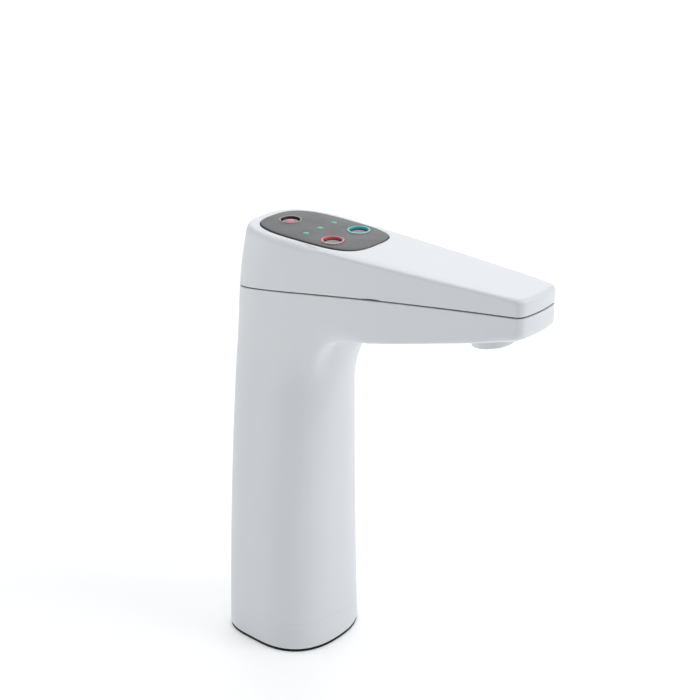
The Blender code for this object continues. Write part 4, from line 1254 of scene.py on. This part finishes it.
def fascia():
    """The grey panel with its rounded rim, three button wells, three lamp holes
    and the posts that take the board's screws."""
    bottom = PANEL_TOP - PANEL_THICK
    rings = [even_panel_ring(bottom, -0.15, 200), even_panel_ring(bottom + 0.15, -0.02, 200)]
    for inset, rise in arc_rows(0.5, 6):
        rings.append(even_panel_ring(PANEL_TOP - 0.17 - 0.5 + rise, -0.02 - inset, 200))
    for inset, down in ((1.2, 0.12), (2.2, 0.065), (3.6, 0.025), (5.5, 0.005), (8.0, 0.0)):
        rings.append(even_panel_ring(PANEL_TOP - down, -0.02 - inset, 200))
    panel = loft("fascia", rings, PANEL)
    tools = []
    for (x, y), r in ((BOIL_XY, 5.72), (CHILLED_XY, 5.72), (SAFETY_XY, 5.68)):
        tools.append(turned("well", [(0, bottom - 1), (r, bottom - 1), (r, PANEL_TOP + 1), (0, PANEL_TOP + 1)], None, (x, y), 96))
    for y in LAMP_Y:
        tools.append(turned("hole", [(0, bottom - 1), (1.66, bottom - 1), (1.66, PANEL_TOP + 1), (0, PANEL_TOP + 1)], None, (LAMP_X, y), 48))
    boolean(panel, tools, sharp=None)
    for x, y in POSTS:
        post = turned(
            "post",
            [(0, BOARD_TOP + 6.5), (1.2, BOARD_TOP + 6.5), (1.2, BOARD_TOP + 0.3), (2.3, BOARD_TOP + 0.3), (2.3, bottom + 0.5), (0, bottom + 0.5)],
            None,
            (x, y),
            32,
        )
        boolean(panel, post, "UNION", sharp=None)
    panel.data.set_sharp_from_angle(angle=math.radians(35))
    place(panel, "panel_grey", "control_panel")


def button(name, node, ring_node, centre, ring_mat, ring_slot, body):
    lit = name != "safety"
    top = PANEL_TOP + (0.38 if lit else 0.25)
    wide = RING_OUTER + 0.25
    if lit:
        mouth = ((RING_INNER + 0.3, top, 0.2), (RING_INNER + 0.12, top - 0.9, 0.3))
    else:
        mouth = ((RING_INNER + 0.55, top, 0.15), (RING_INNER + 0.3, top - 0.5, 0.2))
    cap_top = CAP_TOP + (0.45 if lit else 0.65)
    ring = turned(
        f"{name}_ring",
        rounded(
            [
                (RING_INNER, 228.4, 0.1),
                (wide, 228.4, 0.1),
                (wide, 229.9, 0.0),
                (6.5, 229.9, 0.1),
                (6.5, PANEL_TOP - PANEL_THICK - 0.3, 0.1),
                (wide, PANEL_TOP - PANEL_THICK - 0.3, 0.0),
                (wide, top, 0.18),
                *mouth,
                (RING_INNER, top - 1.6, 0.0),
            ],
            loop=True,
        ),
        ring_mat[0],
        centre,
        96,
        loop=True,
    )
    # the bore glows, darkening deep down with painted shade, or is black, and the rim outside it is paler; the lit rims
    # are palest on their +x, -y side, a painted reflection
    ring.data.materials.append(ring_mat[1])
    for face in ring.data.polygons:
        at = face.center / MM
        if math.hypot(at.x - centre[0], at.y - centre[1]) > RING_INNER + (0.36 if lit else 0.5):
            face.material_index = 1
    place(ring, ring_slot, ring_node)
    if name == "safety":
        dish = [(0, cap_top - 1.3, 0), (2.45, cap_top - 1.3, 0.1), (2.45, cap_top - 0.5, 0.2), (3.2, cap_top - 0.34, 0.8)]
    else:
        dish = [(0, cap_top - 0.75, 0), (1.2, cap_top - 0.7, 1.5), (2.9, cap_top - 0.34, 1.5)]
    profile = dish + [
        (CAP_RADIUS - 0.15, cap_top, 0.5),
        (CAP_RADIUS + 0.15, cap_top - 0.3, 0.3),
        (CAP_RADIUS + 0.15, 231.2, 0.15),
        (CAP_RADIUS, 230.6, 0.15),
        (2.3, 230.2, 0.0),
        (2.3, 228.0, 0.2),
        (5.1, 228.0, 0.15),
        (5.1, 226.9, 0.15),
        (2.0, 226.9, 0.1),
        (2.0, 226.1, 0.1),
        (0, 226.1, 0),
    ]
    place(turned(f"{name}_cap", rounded(profile), CAP, centre, 96), "cap_grey", node, body=body)
    if name == "safety":
        lens = turned(
            "safety_lens",
            rounded([(0, cap_top - 1.2, 0), (2.3, cap_top - 1.2, 0.1), (2.3, cap_top + 0.35, 0.5), (1.3, cap_top + 0.82, 1.5), (0, cap_top + 0.9, 0)], steps=8),
            LENS,
            centre,
            48,
        )
        place(lens, "red_light", "safety_button_lens", body=body)
    # the return spring, three turns of wire from the board up under the cap
    low, high, turns, radius, wire = BOARD_TOP + 0.3, 226.6, 3.0, 3.75, 0.32
    route = []
    steps = 96
    for k in range(steps + 1):
        t = k / steps
        ang = 2 * math.pi * turns * t
        route.append((centre[0] + radius * math.cos(ang), centre[1] + radius * math.sin(ang), low + wire + (high - low - 2 * wire) * t))
    spring = coil(f"{name}_spring", route, wire, SPRING)
    place(spring, "spring_steel", f"{node}_spring")
    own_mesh(spring)


def coil(name, route, radius, mat, sides=12):
    rings = []
    pts = [Vector(p) for p in route]
    for k, p in enumerate(pts):
        ahead = (pts[min(k + 1, len(pts) - 1)] - pts[max(k - 1, 0)]).normalized()
        up = Vector((0, 0, 1))
        u = (up - ahead * up.dot(ahead)).normalized()
        v = ahead.cross(u)
        rings.append([tuple(p + radius * (math.cos(2 * math.pi * j / sides) * u + math.sin(2 * math.pi * j / sides) * v)) for j in range(sides)])
    return loft(name, rings, mat, sharp=60)


def status_lamps():
    guide = block("status_lamps", (LAMP_X - 1.4, -12.6, 227.9), (LAMP_X + 1.4, 12.6, 229.4), GREEN)
    tools = []
    for y in LAMP_Y:
        tools.append(
            turned("pin", rounded([(0, 228.6, 0), (1.62, 228.6, 0), (1.62, PANEL_TOP + 0.12, 0.4), (0.6, PANEL_TOP + 0.37, 1.0), (0, PANEL_TOP + 0.38, 0)], steps=8), None, (LAMP_X, y), 40)
        )
    for y in (-12.0, 12.0):
        tools.append(block("leg", (LAMP_X - 1.2, y - 0.55, BOARD_TOP + 0.3), (LAMP_X + 1.2, y + 0.55, 228.4), None))
    boolean(guide, tools, "UNION", sharp=35)
    place(guide, "green_light", "status_light_guide")


def outlet():
    nozzle = turned(
        "outlet_boss",
        rounded(
            [
                (0, -1.2, 0),
                (5.5, -1.2, 0.2),
                (5.5, -4.6, 0.3),
                (FLANGE_RADIUS + 0.7, -4.6, 0.5),
                (FLANGE_RADIUS + 0.7, -0.3, 0.15),
                (9.1, -0.3, 0.0),
                (9.1, -1.3, 0.1),
                (7.95, -1.3, 0.1),
                (7.95, -0.3, 0.0),
                (NECK_RADIUS, -0.3, 0.0),
                (NECK_RADIUS, 6.4, 0.3),
                (0, 6.4, 0),
            ]
        ),
        WHITE,
        count=96,
        matrix=OUTLET,
        wedge=(-2.0, 0.07),
        sharp=40,
    )
    # the flange reaches a little further towards the tip than its neck
    frame_back = OUTLET.inverted()
    for v in nozzle.data.vertices:
        p = frame_back @ (v.co / MM)
        if math.hypot(p.x, p.y) > 9.2 and p.z < 0.0:
            v.co = (OUTLET @ (p + Vector((0.6, 0.0, 0.0)))) * MM
    tools = [
        turned("spigot", [(0, 5.0), (1.6, 5.0), (1.6, 11.0), (0, 11.0)], None, count=32, matrix=OUTLET @ Matrix.Translation(Vector((0, y, 0))))
        for y in (-3.9, 3.9)
    ]
    boolean(nozzle, tools, "UNION", sharp=None)
    tools = [
        turned("bore", [(0, -3.0), (1.0, -3.0), (1.0, 14.0), (0, 14.0)], None, count=24, matrix=OUTLET @ Matrix.Translation(Vector((0, y, 0))))
        for y in (-3.9, 3.9)
    ]
    boolean(nozzle, tools, sharp=40)
    place(nozzle, "white_gloss", "outlet_nozzle")
    insert = turned(
        "flow_former",
        rounded([(0, -1.5, 0), (5.2, -1.5, 0.1), (5.2, -4.4, 0.5), (0, -4.4, 0)]),
        RING,
        count=72,
        matrix=OUTLET,
        wedge=(-3.0, 0.07),
    )
    tools = [
        turned("hole", [(0, -6.5), (1.5, -6.5), (1.5, 0.0), (0, 0.0)], None, count=32, matrix=OUTLET @ Matrix.Translation(Vector((0, y, 0))))
        for y in (-2.6, 2.6)
    ]
    boolean(insert, tools, sharp=40)
    place(insert, "ring_grey", "nozzle_insert")
    profile = [(8.52 + 0.38 * math.cos(2 * math.pi * k / 16), -0.72 + 0.42 * math.sin(2 * math.pi * k / 16)) for k in range(16)]
    place(turned("outlet_o_ring", profile, RUBBER, loop=True, matrix=OUTLET, sharp=80), "black_rubber", "nozzle_seal")


def oval(a, b, x0, z, expf, expb, count=144):
    out = []
    for k in range(count):
        t = 2 * math.pi * k / count
        e = 2 / (expf if math.cos(t) > 0 else expb)
        out.append((x0 + a * power(math.cos(t), e), b * power(math.sin(t), e), z))
    return out


def foot():
    a, b = FOOT_HALF_DEPTH, FOOT_HALF_WIDTH

    def row(inset, z):
        return oval(a - inset, b - inset, 0, z, EXP_FRONT, EXP_BACK)

    gasket = loft("foot_gasket", [row(0.75, 0.0), row(0.42, 0.12), row(0.3, 0.35), row(0.3, GASKET_THICK - 0.2), row(0.45, GASKET_THICK)], RUBBER)
    tools = [
        turned("hole", [(0, -1), (r, -1), (r, 3), (0, 3)], None, (x, y), 48)
        for x, y, r in ((-20.9, 0.0, 3.4), (20.4, 0.0, 3.4), (INLET_X, INLET_Y, 4.6), (INLET_X, -INLET_Y, 4.6))
    ]
    tools.append(block("window", (SOCKET_X - 4.6, -4.8, -1.0), (SOCKET_X + 4.6, 4.8, 3.0), None))
    boolean(gasket, tools, sharp=35)
    place(gasket, "black_rubber", "base_gasket")


def water_ways():
    for name, side, mat, slot in (("hot", 1, HOT, "hot_silicone"), ("chilled", -1, COLD, "chilled_tube_blue")):
        y = INLET_Y * side
        route = [
            (INLET_X, y, 22.6),
            (INLET_X, y, 60.0),
            (INLET_X, y, 110.0),
            (INLET_X, y, 160.0),
            (-0.5, y, 190.0),
            (14.0, y, 205.0),
            (40.0, 6.8 * side, 209.5),
            (80.0, 5.4 * side, 214.0),
            (98.0, 4.6 * side, 221.6),
            (106.0, 4.1 * side, 225.2),
            (113.0, 3.9 * side, 226.1),
            *(tuple(OUTLET @ Vector((0, 3.9 * side, up))) for up in (14.5, 10.5, 6.9)),
        ]
        tube = sweep(f"{name}_water_tube", route, 2.85, 1.95, 20, mat, step=3.0)
        place(tube, slot, f"{name}_tube")
        fitting = turned(
            f"{name}_inlet",
            rounded(
                [
                    (1.0, 2.0, 0.1),
                    (2.9, 2.0, 0.3),
                    (2.9, 11.0, 0.0),
                    (5.0, 11.0, 0.3),
                    (5.0, 18.0, 0.3),
                    (4.2, 19.0, 0.2),
                    (4.2, 22.0, 0.3),
                    (1.6, 22.0, 0.0),
                    (1.6, 30.0, 0.2),
                    (1.0, 30.0, 0.1),
                ],
                loop=True,
            ),
            STEEL,
            (INLET_X, y),
            48,
            loop=True,
        )
        place(fitting, "steel", f"{name}_inlet_fitting")
    route = [
        (SOCKET_X, 0, 15.4),
        (SOCKET_X, 0, 45.0),
        (SOCKET_X, 0, 90.0),
        (SOCKET_X, 0, 140.0),
        (6.5, 0, 180.0),
        (0.5, 0, 200.0),
        (-2.0, 0, 214.8),
    ]
    place(sweep("signal_loom", route, 1.5, 0, 16, CABLE, step=3.0), "cable_grey", "signal_cable")


body_casing()
head_cover()
seals()
fascia()
button("boil", "boil_button", "boil_light_ring", BOIL_XY, RED, "red_light", "boil_press")
button("chilled", "chilled_button", "chilled_light_ring", CHILLED_XY, TEAL, "turquoise_light", "chilled_press")
button("safety", "safety_button", "safety_button_ring", SAFETY_XY, (BLACK, RING), "ring_grey", "safety_press")
status_lamps()
outlet()
foot()
water_ways()

# ---------------------------------------------------------------- CAD pieces kept
FINISH = {
    "base_plate": STEEL,
    "base_grommet": RUBBER,
    "base_screw": SCREW,
    "board_screw": SCREW,
    "nozzle_nut": STEEL,
    "circuit_board": BOARD,
    "board_carrier": BLACK,
    "board_connector": BLACK,
    "cable_socket": BLACK,
    "tube_guide": BLACK,
    "_switch": BLACK,
    "_led": LAMP,
    "status_led": LAMP,
}
for name, node in NODES.items():
    if node.hide_render:
        continue
    chosen = next((mat for key, mat in FINISH.items() if key in name), BLACK)
    node.data.materials.clear()
    node.data.materials.append(chosen)

# ---------------------------------------------------------------- stage
scene = bpy.context.scene
scene.view_settings.view_transform = "Standard"
scene.view_settings.look = "None"
scene.view_settings.exposure = 0.0
scene.view_settings.gamma = 1.0


def stage_floor():
    bm = bmesh.new()
    n = 96
    rings = [0.0, 0.4, 1.0, 2.5, 8.0]
    rows = [[bm.verts.new((0, 0, 0))]]
    for r in rings[1:]:
        rows.append([bm.verts.new((r * math.cos(2 * math.pi * k / n), r * math.sin(2 * math.pi * k / n), 0)) for k in range(n)])
    for low, high in zip(rows, rows[1:]):
        for k in range(n):
            m = (k + 1) % n
            bm.faces.new((low[0], high[k], high[m]) if len(low) == 1 else (low[k], high[k], high[m], low[m]))
    s = Surface("floor_paint", (0.93, 0.93, 0.93), 0.7)
    s.mottle(6.0, 0.004)
    s.set("Emission Color", (1.0, 1.0, 1.0, 1.0))
    # a lit sweep: the paper glows more away from the piece, as under a light tent
    reach = s.tree.nodes.new("ShaderNodeVectorMath")
    reach.operation = "LENGTH"
    s.tree.links.new(s.coords, reach.inputs[0])
    away = s.tree.nodes.new("ShaderNodeMapRange")
    away.interpolation_type = "SMOOTHSTEP"
    away.inputs["From Min"].default_value = 0.3
    away.inputs["From Max"].default_value = 1.1
    s.tree.links.new(reach.outputs["Value"], away.inputs["Value"])
    far = s.math("MULTIPLY", away.outputs["Result"], FAR_GLOW)
    far.node.name = "far"
    glow = s.math("ADD", far, FLOOR_GLOW)
    glow.node.name = "near"
    s.link("Emission Strength", glow)
    floor = make_object("floor", bm, s.mat, 1.0)
    floor.location.z = -0.00005


def softbox(name, at, aim, size, power, tint=(1.0, 1.0, 1.0)):
    data = bpy.data.lights.new(name, "AREA")
    data.shape = "RECTANGLE"
    data.size, data.size_y = size
    data.energy = power
    data.color = tint
    obj = bpy.data.objects.new(name, data)
    obj.location = at
    obj.rotation_euler = (Vector(aim) - Vector(at)).to_track_quat("-Z", "Y").to_euler()
    scene.collection.objects.link(obj)
    return obj


FLOOR_GLOW = 0.20
FAR_GLOW = 0.26
SKY = 0.05
# name, place, size, power (W); each looks at the middle of the column or spout
SOFTBOXES = (
    ("top", (0.05, 0.0, 1.65), (2.6, 2.6), 30.4),
    ("right", (0.95, 0.45, 0.75), (0.6, 0.6), 4.4),
    ("back", (0.35, 1.15, 0.5), (0.9, 0.7), 0.8),
    ("left", (-0.95, -0.65, 0.35), (0.7, 0.7), 2.2),
    ("front", (-0.1, -1.3, 0.45), (0.9, 0.7), 0.4),
    ("behind", (-1.62, 1.9, 1.15), (3.2, 1.7), 22.0),
)
stage_floor()
for name, at, size, watts in SOFTBOXES:
    softbox(name, at, (0.03, 0, 0.14), size, watts, (0.97, 0.98, 1.0))

world = bpy.data.worlds.new("studio")
world.use_nodes = True
scene.world = world
background = world.node_tree.nodes["Background"]
background.inputs["Color"].default_value = (0.96, 0.98, 1.0, 1.0)
background.inputs["Strength"].default_value = SKY
